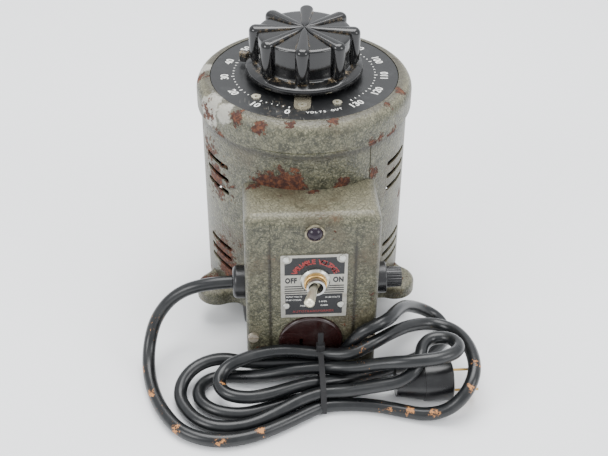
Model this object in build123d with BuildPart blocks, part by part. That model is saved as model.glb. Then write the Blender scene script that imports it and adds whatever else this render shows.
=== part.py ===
"""A bench variable autotransformer: a drum with a dial and knob on top, and a control box on its front.

Millimetres, +Z up, origin on the drum's axis at the level of the surface the feet stand on.
The front of the object faces -Y. Angles on the dial are measured from +X, counter-clockwise.
"""

import os
from math import asin, atan2, cos, degrees, pi, radians, sin, tan

from build123d import *

os.makedirs("parts", exist_ok=True)

# ---- driving dimensions ----
DRUM_R = 67.0
SHEET = 1.2
FOOT_H = 18.0
EAR_H = 10.0
BASE_TOP = FOOT_H + EAR_H
PAN_FLOOR = FOOT_H + 3.0
EAR_PCD = 142.0
EAR_R = 13.8
EAR_HOLE_R = 2.8
FOOT_X, FOOT_Y = 35.0, 43.0
SEAM_Z = 147.5
COVER_R = 69.5
COVER_RIM_Z = 169.2
DIAL_R = 60.5
DIAL_SEAT_Z = 167.4
DIAL_Z = 168.9
SHAFT_R = 4.7625
BORE_R = 4.80

KNOB_BOTTOM = 172.0
KNOB_SKIRT_R = 37.7
KNOB_BODY_R = 30.0
KNOB_TOP = 200.6
KNOB_RIBS = 8
FRONT_ANGLE = -90.0
DIAL_ZERO = 15.0
DEG_PER_VOLT = 2.38
REST_VOLTS = 40
FULL_VOLTS = 130
POINTER_ANGLE = FRONT_ANGLE - DIAL_ZERO - DEG_PER_VOLT * REST_VOLTS
STOP_ANGLE = FRONT_ANGLE - DIAL_ZERO - DEG_PER_VOLT * FULL_VOLTS / 2 - 180.0
RIB_ANGLE = FRONT_ANGLE - 6.0

BOX_X = 42.0
FRONT_Y = -97.0
PANEL_STEP = 1.0
PANEL_X = 26.0
BOX_BOTTOM = 2.0
BOX_TOP = 123.0
BOX_WALL = 1.5
BOX_BACK_R = DRUM_R + 0.1
INSIDE_Y = FRONT_Y + BOX_WALL
LAMP_X, LAMP_Z = 0.9, 112.0
SWITCH_X, SWITCH_Z = 1.5, 76.0
PLATE_X0, PLATE_X1 = -20.0, 21.5
PLATE_Z0, PLATE_Z1 = 46.5, 96.0
PLATE_T = 0.8
OUTLET_X, OUTLET_Z, OUTLET_R = -0.8, 25.5, 20.9
SIDE_Y, SIDE_Z = -74.0, 58.0
BOX_SCREW_X, BOX_SCREW_Z = 37.7, 30.0

CORD_R = 4.2
TIE_X = 5.0
TIE_W = 3.6
TIE_T = 1.4
PLUG_X, PLUG_Y, PLUG_Z = 51.5, -125.2, 13.0
PLUG_R = 12.8
PLUG_L = 36.0
PLUG_BACK = 18.0


def front_plane(x, z, y):
    """A plane at y that looks out of the front, with its own y axis up."""
    return Plane(origin=(x, y, z), x_dir=(1, 0, 0), z_dir=(0, -1, 0))


def right_plane(x):
    """A plane at x that looks out of the right side, at the fuse holder."""
    return Plane(origin=(x, SIDE_Y, SIDE_Z), x_dir=(0, 1, 0), z_dir=(1, 0, 0))


def left_plane(x):
    """A plane at x that looks out of the left side, at the cord bushing."""
    return Plane(origin=(x, SIDE_Y, SIDE_Z), x_dir=(0, -1, 0), z_dir=(-1, 0, 0))


def cap_arc(rim_r, rim_y, top_y):
    """An arc from a rim to the axis, round a centre on the axis, so that it turns into a spherical cap."""
    height = abs(top_y - rim_y)
    side = 1 if top_y > rim_y else -1
    cap_r = (height**2 + rim_r**2) / (2 * height)
    half = atan2(rim_r, cap_r - height) / 2
    middle = (cap_r * sin(half), top_y - side * cap_r * (1 - cos(half)))
    return ThreePointArc((rim_r, rim_y), middle, (0, top_y))


def turned(angle, z=0.0, r=0.0):
    """A level plane whose x axis points along the given dial angle, r from the drum's axis."""
    out = (cos(radians(angle)), sin(radians(angle)), 0)
    return Plane(origin=(r * out[0], r * out[1], z), x_dir=out, z_dir=(0, 0, 1))


# ---- base casting: a pan with three rounded ears ----
feet = [(x, y) for x in (-FOOT_X, FOOT_X) for y in (-FOOT_Y, FOOT_Y)]

with BuildPart() as base_plate:
    with BuildSketch(Plane.XY.offset(FOOT_H)) as ear_outline:
        Circle(DRUM_R - 1)
        with PolarLocations(EAR_PCD / 2, 3, start_angle=-30):
            Circle(EAR_R)
        corners = [v for v in ear_outline.vertices() if Vector(*tuple(v)).length < DRUM_R and abs(v.Y) > 1]
        fillet(corners, radius=13)
    extrude(amount=EAR_H)
    fillet(base_plate.edges().group_by(Axis.Z)[-1], radius=4)
    with BuildSketch(Plane.XY.offset(FOOT_H)):
        Circle(DRUM_R)
    extrude(amount=EAR_H)
    with BuildSketch(Plane.XY.offset(PAN_FLOOR)):
        Circle(DRUM_R - 4)
    extrude(amount=EAR_H, mode=Mode.SUBTRACT)
    with BuildSketch(Plane.XY.offset(FOOT_H)):
        with PolarLocations(EAR_PCD / 2, 3, start_angle=-30):
            Circle(EAR_HOLE_R)
        with Locations(*feet):
            Circle(2.1)
        with PolarLocations(19, 3, start_angle=30):
            Circle(2.5)
        Circle(8)
    extrude(amount=EAR_H + 1, mode=Mode.SUBTRACT)
base_plate.part.label = "base_plate"
export_step(base_plate.part, "parts/base_plate.step")

with BuildPart() as rubber_feet:
    with Locations(*[(x, y, 0) for x, y in feet]):
        Cone(8.6, 10, FOOT_H, align=(Align.CENTER, Align.CENTER, Align.MIN))
    with Locations(*[(x, y, 0) for x, y in feet]):
        Cylinder(4.6, 7, align=(Align.CENTER, Align.CENTER, Align.MIN), mode=Mode.SUBTRACT)
        Cylinder(2.1, FOOT_H, align=(Align.CENTER, Align.CENTER, Align.MIN), mode=Mode.SUBTRACT)
rubber_feet.part.label = "rubber_feet"
export_step(rubber_feet.part, "parts/rubber_feet.step")

with BuildPart() as foot_screws:
    with Locations(*[(x, y, 4.4) for x, y in feet]):
        Cylinder(4.0, 2.6, align=(Align.CENTER, Align.CENTER, Align.MIN))
        Cylinder(2.0, 21.5, align=(Align.CENTER, Align.CENTER, Align.MIN))
foot_screws.part.label = "foot_screws"
export_step(foot_screws.part, "parts/foot_screws.step")

with BuildPart() as foot_nuts:
    with BuildSketch(Plane.XY.offset(PAN_FLOOR)):
        with Locations(*feet):
            RegularPolygon(4.0, 6)
            Circle(2.05, mode=Mode.SUBTRACT)
    extrude(amount=3)
foot_nuts.part.label = "foot_nuts"
export_step(foot_nuts.part, "parts/foot_nuts.step")

# ---- drum shell: rolled sheet with two bands of slots in four groups ----
SLOT_Z = (44.5, 52.5, 61.0, 106.5, 116.0, 125.5)
SLOT_ANGLES = (-30.0, 30.0, 150.0, 210.0)
SLOT_LENGTH = 2 * DRUM_R * sin(radians(11))
SLOT_WIDTH = 3.4
LAP_ANGLE = FRONT_ANGLE + 34.5

with BuildPart() as drum_shell:
    with BuildSketch(Plane.XY.offset(BASE_TOP)):
        Circle(DRUM_R)
        Circle(DRUM_R - SHEET, mode=Mode.SUBTRACT)
    extrude(amount=SEAM_Z - BASE_TOP)
    for slot_angle in SLOT_ANGLES:
        out = (cos(radians(slot_angle)), sin(radians(slot_angle)), 0)
        with BuildSketch(Plane(origin=(55 * out[0], 55 * out[1], 0), x_dir=(-out[1], out[0], 0), z_dir=out)):
            with Locations(*[(0, z) for z in SLOT_Z]):
                SlotOverall(SLOT_LENGTH, SLOT_WIDTH)
        extrude(amount=20, mode=Mode.SUBTRACT)
    with BuildSketch(front_plane(0, 78, -55)):
        Circle(12)
    extrude(amount=20, mode=Mode.SUBTRACT)
    with BuildSketch(turned(LAP_ANGLE, BASE_TOP, DRUM_R)):
        Rectangle(1.0, 0.7)
    extrude(amount=SEAM_Z - BASE_TOP, mode=Mode.SUBTRACT)
drum_shell.part.label = "drum_shell"
export_step(drum_shell.part, "parts/drum_shell.step")

# ---- pressed cover with a rolled shoulder and a recess for the dial ----
SHOULDER_R = 8.2
with BuildPart() as top_cover:
    with BuildSketch(Plane.XZ):
        with BuildLine():
            wall = Polyline(
                (64.6, SEAM_Z - 4),
                (DRUM_R - SHEET - 0.1, SEAM_Z - 4),
                (DRUM_R - SHEET - 0.1, SEAM_Z),
                (67.9, SEAM_Z),
                (67.9, SEAM_Z + 1.8),
                (COVER_R, SEAM_Z + 3.5),
                (COVER_R, COVER_RIM_Z - SHOULDER_R),
            )
            shoulder = JernArc(wall @ 1, (0, 1), SHOULDER_R, 90)
            Polyline(
                shoulder @ 1,
                (DIAL_R + 0.2, COVER_RIM_Z),
                (DIAL_R + 0.2, DIAL_SEAT_Z),
                (8.0, DIAL_SEAT_Z),
                (8.0, DIAL_SEAT_Z - 1.6),
                (60.5, DIAL_SEAT_Z - 1.6),
                (65.5, 163.0),
                (67.7, 158.5),
                (67.7, SEAM_Z + 4.3),
                (66.2, SEAM_Z + 2.9),
                (66.2, SEAM_Z + 1.5),
                (64.6, SEAM_Z + 0.3),
                (64.6, SEAM_Z - 4),
            )
        make_face()
    revolve(axis=Axis.Z)
top_cover.part.label = "top_cover"
export_step(top_cover.part, "parts/top_cover.step")

# ---- dial plate, its eyelets and the clear tab ----
EYELET_R = 44.0
EYELET_ANGLES = (FRONT_ANGLE - 46, FRONT_ANGLE - 5, FRONT_ANGLE + 24)
TAB_ANGLE = EYELET_ANGLES[1]
TAB_T = 0.8
eyelets = [(EYELET_R * cos(radians(a)), EYELET_R * sin(radians(a))) for a in EYELET_ANGLES]

with BuildPart() as dial_plate:
    with BuildSketch(Plane.XY.offset(DIAL_SEAT_Z)):
        Circle(DIAL_R)
        Circle(8.0, mode=Mode.SUBTRACT)
        with Locations(*eyelets):
            Circle(1.6, mode=Mode.SUBTRACT)
    extrude(amount=DIAL_Z - DIAL_SEAT_Z)
    chamfer(dial_plate.edges().group_by(Axis.Z)[-1].sort_by(SortBy.LENGTH)[-1], 0.3)
dial_plate.part.label = "dial_plate"
export_step(dial_plate.part, "parts/dial_plate.step")

with BuildPart() as dial_eyelets:
    for (x, y), level in zip(eyelets, (DIAL_Z, DIAL_Z + TAB_T, DIAL_Z)):
        with BuildSketch(Plane.XY.offset(level)):
            with Locations((x, y)):
                Circle(2.9)
        extrude(amount=0.7)
        with BuildSketch(Plane.XY.offset(DIAL_SEAT_Z)):
            with Locations((x, y)):
                Circle(1.55)
        extrude(amount=level - DIAL_SEAT_Z)
        with BuildSketch(Plane.XY.offset(DIAL_SEAT_Z)):
            with Locations((x, y)):
                Circle(0.9)
        extrude(amount=4, mode=Mode.SUBTRACT)
dial_eyelets.part.label = "dial_eyelets"
export_step(dial_eyelets.part, "parts/dial_eyelets.step")

with BuildPart() as index_tab:
    with BuildSketch(turned(TAB_ANGLE, DIAL_Z, EYELET_R)):
        Circle(5.2)
        with Locations((-7, 0)):
            Rectangle(14, 10.4)
        Circle(1.6, mode=Mode.SUBTRACT)
    extrude(amount=TAB_T)
index_tab.part.label = "index_tab"
export_step(index_tab.part, "parts/index_tab.step")

# ---- shaft bearings ----
with BuildPart() as shaft_bushing:
    with BuildSketch(Plane.XY.offset(DIAL_SEAT_Z - 4.6)):
        Circle(12)
    extrude(amount=3)
    with BuildSketch(Plane.XY.offset(DIAL_SEAT_Z - 1.6)):
        Circle(7.9)
    extrude(amount=5.2)
    with BuildSketch(Plane.XY.offset(DIAL_SEAT_Z - 5)):
        Circle(BORE_R)
    extrude(amount=12, mode=Mode.SUBTRACT)
shaft_bushing.part.label = "shaft_bushing"
export_step(shaft_bushing.part, "parts/shaft_bushing.step")

with BuildPart() as bushing_nut:
    with BuildSketch(Plane.XY.offset(DIAL_Z)):
        RegularPolygon(11, 6)
        Circle(7.95, mode=Mode.SUBTRACT)
    extrude(amount=2.1)
bushing_nut.part.label = "bushing_nut"
export_step(bushing_nut.part, "parts/bushing_nut.step")

with BuildPart() as lower_bearing:
    with BuildSketch(Plane.XY.offset(FOOT_H)):
        Circle(7.95)
    extrude(amount=PAN_FLOOR - FOOT_H)
    with BuildSketch(Plane.XY.offset(PAN_FLOOR)):
        Circle(12)
    extrude(amount=5)
    with BuildSketch(Plane.XY.offset(FOOT_H)):
        Circle(BORE_R)
    extrude(amount=12, mode=Mode.SUBTRACT)
lower_bearing.part.label = "lower_bearing"
export_step(lower_bearing.part, "parts/lower_bearing.step")

with BuildPart() as rotor_shaft:
    with BuildSketch(Plane.XY.offset(FOOT_H + 1)):
        Circle(SHAFT_R)
    extrude(amount=194 - FOOT_H - 1)
    chamfer(rotor_shaft.edges().group_by(Axis.Z)[-1], 0.8)
rotor_shaft.part.label = "rotor_shaft"
export_step(rotor_shaft.part, "parts/rotor_shaft.step")

# ---- toroidal coil, its supports and its clamp ----
CORE_IN, CORE_OUT = 30.0, 50.0
CORE_Z0, CORE_Z1 = 42.0, 96.0
WIRE = 1.8
TURNS = 60
COIL_Z0, COIL_Z1 = 36.0, 102.0
COIL_IN, COIL_OUT = 25.0, 56.0
COIL_MID = (COIL_IN + COIL_OUT) / 2
CLAMP_TOP = COIL_Z1 + 2.5
BOLT_CIRCLE = 19.0

with BuildPart() as lower_insulator:
    with BuildSketch(Plane.XY.offset(PAN_FLOOR)):
        Circle(54)
        Circle(27, mode=Mode.SUBTRACT)
        with Locations(*feet):
            Circle(6, mode=Mode.SUBTRACT)
    extrude(amount=COIL_Z0 - PAN_FLOOR)
lower_insulator.part.label = "lower_insulator"
export_step(lower_insulator.part, "parts/lower_insulator.step")

with BuildPart() as toroid_core:
    with BuildSketch(Plane.XY.offset(CORE_Z0)):
        Circle(CORE_OUT)
        Circle(CORE_IN, mode=Mode.SUBTRACT)
    extrude(amount=CORE_Z1 - CORE_Z0)
toroid_core.part.label = "toroid_core"
export_step(toroid_core.part, "parts/toroid_core.step")

with BuildPart() as toroid_winding:
    with PolarLocations(COIL_MID, TURNS):
        with Locations((0, 0, (COIL_Z0 + COIL_Z1) / 2)):
            Box(COIL_OUT - COIL_IN, WIRE, COIL_Z1 - COIL_Z0)
            Box(CORE_OUT - CORE_IN + 2, WIRE + 1, CORE_Z1 - CORE_Z0 + 2, mode=Mode.SUBTRACT)
toroid_winding.part.label = "toroid_winding"
export_step(toroid_winding.part, "parts/toroid_winding.step")

with BuildPart() as contact_track:
    with BuildSketch(Plane.XY.offset(COIL_Z1)):
        Circle(54)
        Circle(44, mode=Mode.SUBTRACT)
    extrude(amount=0.4)
contact_track.part.label = "contact_track"
export_step(contact_track.part, "parts/contact_track.step")

with BuildPart() as clamp_plate:
    with BuildSketch(Plane.XY.offset(COIL_Z1)):
        Circle(34)
        Circle(7, mode=Mode.SUBTRACT)
        with PolarLocations(BOLT_CIRCLE, 3, start_angle=30):
            Circle(2.6, mode=Mode.SUBTRACT)
    extrude(amount=CLAMP_TOP - COIL_Z1)
clamp_plate.part.label = "clamp_plate"
export_step(clamp_plate.part, "parts/clamp_plate.step")

with BuildPart() as clamp_bolts:
    with BuildSketch(Plane.XY.offset(FOOT_H + 0.5)):
        with PolarLocations(BOLT_CIRCLE, 3, start_angle=30):
            Circle(2.45)
    extrude(amount=CLAMP_TOP - FOOT_H - 0.5)
    with BuildSketch(Plane.XY.offset(CLAMP_TOP)):
        with PolarLocations(BOLT_CIRCLE, 3, start_angle=30):
            RegularPolygon(4.6, 6)
    extrude(amount=3.5)
clamp_bolts.part.label = "clamp_bolts"
export_step(clamp_bolts.part, "parts/clamp_bolts.step")

with BuildPart() as collector_ring:
    with BuildSketch(Plane.XY.offset(CLAMP_TOP)):
        Circle(13.6)
        Circle(8, mode=Mode.SUBTRACT)
    extrude(amount=4)
collector_ring.part.label = "collector_ring"
export_step(collector_ring.part, "parts/collector_ring.step")

# ---- rotor: arm, holder, brush and its spring, turned to the pointer's angle ----
ARM_Z0, ARM_Z1 = 113.0, 116.0
HUB_TOP = 124.0
BRUSH_AT = 49.0
STOP_AT = 20.0
STOP_R = 4.0
SWEEP = DEG_PER_VOLT * FULL_VOLTS
LUG_HALF = (360 - SWEEP) / 2 - degrees(asin(STOP_R / STOP_AT)) - 0.6

with BuildPart() as brush_arm:
    with BuildSketch(turned(POINTER_ANGLE, ARM_Z0)):
        with Locations((17, 0)):
            SlotOverall(78, 12)
        Circle(11)
    extrude(amount=ARM_Z1 - ARM_Z0)
    with BuildSketch(turned(POINTER_ANGLE, ARM_Z1)):
        Circle(10)
        with BuildLine():
            Polyline(
                (0, 0),
                (24 * cos(radians(LUG_HALF)), -24 * sin(radians(LUG_HALF))),
                (24 * cos(radians(LUG_HALF)), 24 * sin(radians(LUG_HALF))),
                close=True,
            )
        make_face()
    extrude(amount=HUB_TOP - ARM_Z1)
    with BuildSketch(Plane.XY.offset(ARM_Z0)):
        Circle(BORE_R)
    extrude(amount=20, mode=Mode.SUBTRACT)
brush_arm.part.label = "brush_arm"
export_step(brush_arm.part, "parts/brush_arm.step")

with BuildPart() as brush_holder:
    with BuildSketch(turned(POINTER_ANGLE, ARM_Z0 - 7, BRUSH_AT)):
        Rectangle(9, 10)
        Rectangle(5, 6, mode=Mode.SUBTRACT)
    extrude(amount=7)
brush_holder.part.label = "brush_holder"
export_step(brush_holder.part, "parts/brush_holder.step")

with BuildPart() as carbon_brush:
    with BuildSketch(turned(POINTER_ANGLE, COIL_Z1 + 0.45, BRUSH_AT)):
        Rectangle(4.9, 5.9)
    extrude(amount=6.4)
carbon_brush.part.label = "carbon_brush"
export_step(carbon_brush.part, "parts/carbon_brush.step")

with BuildPart() as brush_spring:
    with BuildSketch(turned(POINTER_ANGLE, COIL_Z1 + 6.85, BRUSH_AT)):
        Circle(2.1)
        Circle(1.5, mode=Mode.SUBTRACT)
    extrude(amount=ARM_Z0 - COIL_Z1 - 6.85)
brush_spring.part.label = "brush_spring"
export_step(brush_spring.part, "parts/brush_spring.step")

with BuildPart() as collector_contact:
    with BuildSketch(turned(POINTER_ANGLE + 180, CLAMP_TOP + 4.05, 10.8)):
        Rectangle(4, 4)
    extrude(amount=ARM_Z0 - CLAMP_TOP - 4.05)
collector_contact.part.label = "collector_contact"
export_step(collector_contact.part, "parts/collector_contact.step")

with BuildPart() as stop_post:
    with BuildSketch(turned(STOP_ANGLE, ARM_Z1 + 1.5, STOP_AT)):
        Circle(STOP_R)
    extrude(amount=DIAL_SEAT_Z - 1.6 - ARM_Z1 - 1.5)
stop_post.part.label = "stop_post"
export_step(stop_post.part, "parts/stop_post.step")

# ---- knob: hollow skirted body with eight finger ribs ----
RIB_OUT_R = 30.8
RIB_HALF = 4.4
RIB_TOP = 201.6
HUB_R = 10.5
SCREW_ANGLE = RIB_ANGLE + 180 + 22.5
screw_out = (cos(radians(SCREW_ANGLE)), sin(radians(SCREW_ANGLE)), 0)
screw_plane = Plane(
    origin=(BORE_R * screw_out[0], BORE_R * screw_out[1], KNOB_BOTTOM + 10), x_dir=(0, 0, 1), z_dir=screw_out
)
with BuildPart() as knob:
    with BuildSketch(Plane.XZ):
        with BuildLine():
            Polyline(
                (HUB_R, KNOB_BOTTOM),
                (KNOB_SKIRT_R - 0.6, KNOB_BOTTOM),
                (KNOB_SKIRT_R, KNOB_BOTTOM + 0.6),
                (KNOB_SKIRT_R, KNOB_BOTTOM + 3.0),
                (KNOB_SKIRT_R - 0.6, KNOB_BOTTOM + 3.6),
                (KNOB_BODY_R, KNOB_BOTTOM + 5.6),
                (KNOB_BODY_R, KNOB_TOP - 3.6),
                (KNOB_BODY_R - 1.0, KNOB_TOP - 2.6),
                (0, KNOB_TOP),
                (0, KNOB_BOTTOM + 22.6),
                (BORE_R, KNOB_BOTTOM + 22.6),
                (BORE_R, KNOB_BOTTOM),
                close=True,
            )
        make_face()
    revolve(axis=Axis.Z)
    with BuildSketch(Plane.XY.offset(KNOB_BOTTOM)):
        Circle(KNOB_BODY_R - 3)
        Circle(HUB_R, mode=Mode.SUBTRACT)
    extrude(amount=20, mode=Mode.SUBTRACT)
    for i in range(KNOB_RIBS):
        with BuildSketch(turned(RIB_ANGLE + 360 / KNOB_RIBS * i, KNOB_BOTTOM + 4.2)):
            with BuildLine():
                Polyline(
                    (27.5, -RIB_HALF),
                    (27.5, RIB_HALF),
                    (RIB_OUT_R, RIB_HALF),
                    (RIB_OUT_R, -RIB_HALF),
                    close=True,
                )
            make_face()
            with Locations((RIB_OUT_R, 0)):
                Circle(RIB_HALF)
        extrude(amount=RIB_TOP - KNOB_BOTTOM - 4.2 - 1.5)
        with BuildSketch(turned(RIB_ANGLE + 360 / KNOB_RIBS * i, KNOB_TOP - 5)):
            with BuildLine():
                Polyline(
                    (0, -1.6),
                    (RIB_OUT_R, -RIB_HALF + 0.6),
                    (RIB_OUT_R, RIB_HALF - 0.6),
                    (0, 1.6),
                    close=True,
                )
            make_face()
        extrude(amount=RIB_TOP - KNOB_TOP + 5)
    with BuildSketch(screw_plane):
        Circle(1.95)
    extrude(amount=6, mode=Mode.SUBTRACT)
knob.part.label = "knob"
export_step(knob.part, "parts/knob.step")

with BuildPart() as knob_pointer:
    with BuildSketch(turned(POINTER_ANGLE, KNOB_BOTTOM - 0.5, KNOB_SKIRT_R + 3.05)):
        RectangleRounded(6.0, 4.6, 1.4)
    extrude(amount=6.5)
    fillet(knob_pointer.edges().group_by(Axis.Z)[-1], radius=0.9)
knob_pointer.part.label = "knob_pointer"
export_step(knob_pointer.part, "parts/knob_pointer.step")

with BuildPart() as knob_set_screw:
    with BuildSketch(screw_plane):
        Circle(1.9)
    extrude(amount=5.5)
knob_set_screw.part.label = "knob_set_screw"
export_step(knob_set_screw.part, "parts/knob_set_screw.step")

# ---- control box: folded sheet with a raised centre strip, open to the drum ----
with BuildPart() as control_box:
    with BuildSketch(Plane.XY.offset(BOX_BOTTOM)) as box_outline:
        with Locations((0, (FRONT_Y + PANEL_STEP - 45) / 2)):
            Rectangle(2 * BOX_X, -45 - FRONT_Y - PANEL_STEP)
        fillet(box_outline.vertices().group_by(Axis.Y)[0], radius=5)
    extrude(amount=BOX_TOP - BOX_BOTTOM)
    fillet(control_box.edges().group_by(Axis.Z)[-1].filter_by(lambda e: e.center().Y < -46), radius=7)
    with BuildSketch(Plane.YZ.offset(-PANEL_X)):
        with BuildLine():
            strip = Polyline((FRONT_Y + 12, BOX_BOTTOM), (FRONT_Y, BOX_BOTTOM), (FRONT_Y, BOX_TOP - 8.6))
            crown = RadiusArc(strip @ 1, (FRONT_Y + 8, BOX_TOP - 0.6), 8)
            Polyline(crown @ 1, (FRONT_Y + 12, BOX_TOP - 0.6), strip @ 0)
        make_face()
    extrude(amount=2 * PANEL_X)
    with BuildSketch(Plane.XY.offset(BOX_BOTTOM + BOX_WALL)) as inside:
        with Locations((0, (INSIDE_Y + PANEL_STEP - 45) / 2)):
            Rectangle(2 * (BOX_X - BOX_WALL), -45 - INSIDE_Y - PANEL_STEP)
        fillet(inside.vertices().group_by(Axis.Y)[0], radius=3.5)
    extrude(amount=BOX_TOP - BOX_BOTTOM - 7, mode=Mode.SUBTRACT)
    with BuildSketch(Plane.XY.offset(BOX_BOTTOM + BOX_WALL)):
        with Locations((0, INSIDE_Y + 5)):
            Rectangle(2 * (PANEL_X - BOX_WALL), 10)
    extrude(amount=BOX_TOP - BOX_BOTTOM - 14, mode=Mode.SUBTRACT)
    with BuildSketch(Plane.XY):
        Circle(BOX_BACK_R)
    extrude(amount=BOX_TOP + 1, mode=Mode.SUBTRACT)
    for x, z, r in (
        (LAMP_X, LAMP_Z, 5.0),
        (SWITCH_X, SWITCH_Z, 6.0),
        (OUTLET_X, OUTLET_Z, 18.0),
        (-BOX_SCREW_X, BOX_SCREW_Z, 1.7),
        (BOX_SCREW_X, BOX_SCREW_Z, 1.7),
    ):
        with BuildSketch(front_plane(x, z, FRONT_Y + 6)):
            Circle(r)
        extrude(amount=10, mode=Mode.SUBTRACT)
    with BuildSketch(right_plane(BOX_X - 4)):
        Circle(7.5)
    extrude(amount=8, mode=Mode.SUBTRACT)
    with BuildSketch(left_plane(-BOX_X + 4)):
        Circle(7.0)
    extrude(amount=8, mode=Mode.SUBTRACT)
control_box.part.label = "control_box"
export_step(control_box.part, "parts/control_box.step")

with BuildPart() as box_screws:
    for x in (-BOX_SCREW_X, BOX_SCREW_X):
        with BuildSketch(front_plane(x, BOX_SCREW_Z, FRONT_Y + PANEL_STEP)):
            Circle(3.3)
        extrude(amount=2.4)
        with BuildSketch(front_plane(x, BOX_SCREW_Z, FRONT_Y + 9)):
            Circle(1.6)
        extrude(amount=8)
        with BuildSketch(front_plane(x, BOX_SCREW_Z, FRONT_Y + PANEL_STEP - 1.4)):
            Rectangle(7, 0.9)
        extrude(amount=2, mode=Mode.SUBTRACT)
box_screws.part.label = "box_screws"
export_step(box_screws.part, "parts/box_screws.step")

# ---- nameplate and its rivets ----
PLATE_MID_X = (PLATE_X0 + PLATE_X1) / 2
PLATE_MID_Z = (PLATE_Z0 + PLATE_Z1) / 2
RIVETS = [(PLATE_X0 + 3.6, PLATE_Z1 - 2.9), (PLATE_X1 - 3.4, PLATE_Z1 - 2.9)]
RIVETS += [(PLATE_X0 + 3.4, PLATE_Z0 + 9.8), (PLATE_X1 - 3.6, PLATE_Z0 + 9.8)]

with BuildPart() as nameplate:
    with BuildSketch(front_plane(PLATE_MID_X, PLATE_MID_Z, FRONT_Y)):
        RectangleRounded(PLATE_X1 - PLATE_X0, PLATE_Z1 - PLATE_Z0, 0.8)
        with Locations((SWITCH_X - PLATE_MID_X, SWITCH_Z - PLATE_MID_Z)):
            Circle(6.1, mode=Mode.SUBTRACT)
        with Locations(*[(x - PLATE_MID_X, z - PLATE_MID_Z) for x, z in RIVETS]):
            Circle(1.1, mode=Mode.SUBTRACT)
    extrude(amount=PLATE_T)
nameplate.part.label = "nameplate"
export_step(nameplate.part, "parts/nameplate.step")

with BuildPart() as nameplate_rivets:
    for x, z in RIVETS:
        with BuildSketch(front_plane(x, z, FRONT_Y)):
            Circle(1.05)
        extrude(amount=PLATE_T)
        with BuildSketch(front_plane(x, z, FRONT_Y - PLATE_T)):
            Circle(2.3)
        extrude(amount=1.0)
    fillet(nameplate_rivets.edges().group_by(Axis.Y)[0], radius=0.7)
nameplate_rivets.part.label = "nameplate_rivets"
export_step(nameplate_rivets.part, "parts/nameplate_rivets.step")

# ---- toggle switch ----
PIVOT_Y = FRONT_Y - 3.5
BUSHING_OUT = 8.6
LEVER_LEAN = 15.0
LEVER_LENGTH = 22.0

with BuildPart() as switch_body:
    with BuildSketch(front_plane(SWITCH_X, SWITCH_Z, INSIDE_Y + 24)):
        RectangleRounded(17, 28, 1.5)
    extrude(amount=24)
    with BuildSketch(front_plane(SWITCH_X, SWITCH_Z, INSIDE_Y)):
        Circle(5.9)
    extrude(amount=BUSHING_OUT + BOX_WALL)
    with BuildSketch(front_plane(SWITCH_X, SWITCH_Z, INSIDE_Y + 1)):
        Circle(4.6)
    extrude(amount=14, mode=Mode.SUBTRACT)
    with BuildSketch(Plane(origin=(SWITCH_X, PIVOT_Y, SWITCH_Z - 6.5))):
        Circle(0.85)
    extrude(amount=13, mode=Mode.SUBTRACT)
switch_body.part.label = "switch_body"
export_step(switch_body.part, "parts/switch_body.step")

with BuildPart() as switch_pivot_pin:
    with BuildSketch(Plane(origin=(SWITCH_X, PIVOT_Y, SWITCH_Z - 5.6))):
        Circle(0.8)
    extrude(amount=11.2)
switch_pivot_pin.part.label = "switch_pivot_pin"
export_step(switch_pivot_pin.part, "parts/switch_pivot_pin.step")

with BuildPart() as switch_ring:
    with BuildSketch(front_plane(SWITCH_X, SWITCH_Z, FRONT_Y - PLATE_T)):
        Circle(9.4)
    extrude(amount=2.2)
    chamfer(switch_ring.edges().group_by(Axis.Y)[0], 1.2)
    with BuildSketch(front_plane(SWITCH_X, SWITCH_Z, FRONT_Y)):
        Circle(5.95)
    extrude(amount=6, mode=Mode.SUBTRACT)
switch_ring.part.label = "switch_ring"
export_step(switch_ring.part, "parts/switch_ring.step")

with BuildPart() as switch_nut:
    with BuildSketch(front_plane(SWITCH_X, SWITCH_Z, FRONT_Y - PLATE_T - 2.2)):
        Circle(7.2)
        Circle(5.95, mode=Mode.SUBTRACT)
    extrude(amount=2.4)
    chamfer(switch_nut.edges().group_by(Axis.Y)[0], 0.4)
switch_nut.part.label = "switch_nut"
export_step(switch_nut.part, "parts/switch_nut.step")

lean = Plane(
    origin=(SWITCH_X, PIVOT_Y, SWITCH_Z),
    x_dir=(cos(radians(LEVER_LEAN)), -sin(radians(LEVER_LEAN)), 0),
    z_dir=(-sin(radians(LEVER_LEAN)), -cos(radians(LEVER_LEAN)), 0),
)
lever_profile = Plane(origin=lean.origin, x_dir=lean.x_dir, z_dir=(0, 0, -1))
with BuildPart() as switch_lever:
    with BuildSketch(lever_profile):
        with BuildLine():
            side = Polyline((0, -4), (1.6, -4), (1.6, -2.8))
            ball = ThreePointArc(side @ 1, (3.2, 0), (2.3, 2.6))
            Line(ball @ 1, (3.3, LEVER_LENGTH - 2.6))
            cap_arc(3.3, LEVER_LENGTH - 2.6, LEVER_LENGTH)
            Line((0, LEVER_LENGTH), (0, -4))
        make_face()
    revolve(axis=Axis(lean.origin, lean.z_dir))
    with BuildSketch(Plane(origin=(SWITCH_X, PIVOT_Y, SWITCH_Z - 6))):
        Circle(0.85)
    extrude(amount=12, mode=Mode.SUBTRACT)
switch_lever.part.label = "switch_lever"
export_step(switch_lever.part, "parts/switch_lever.step")

# ---- pilot lamp ----
with BuildPart() as lamp_bezel:
    with BuildSketch(front_plane(LAMP_X, LAMP_Z, FRONT_Y)):
        Circle(6.2)
        Circle(5.0, mode=Mode.SUBTRACT)
    extrude(amount=1.2)
lamp_bezel.part.label = "lamp_bezel"
export_step(lamp_bezel.part, "parts/lamp_bezel.step")

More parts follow.
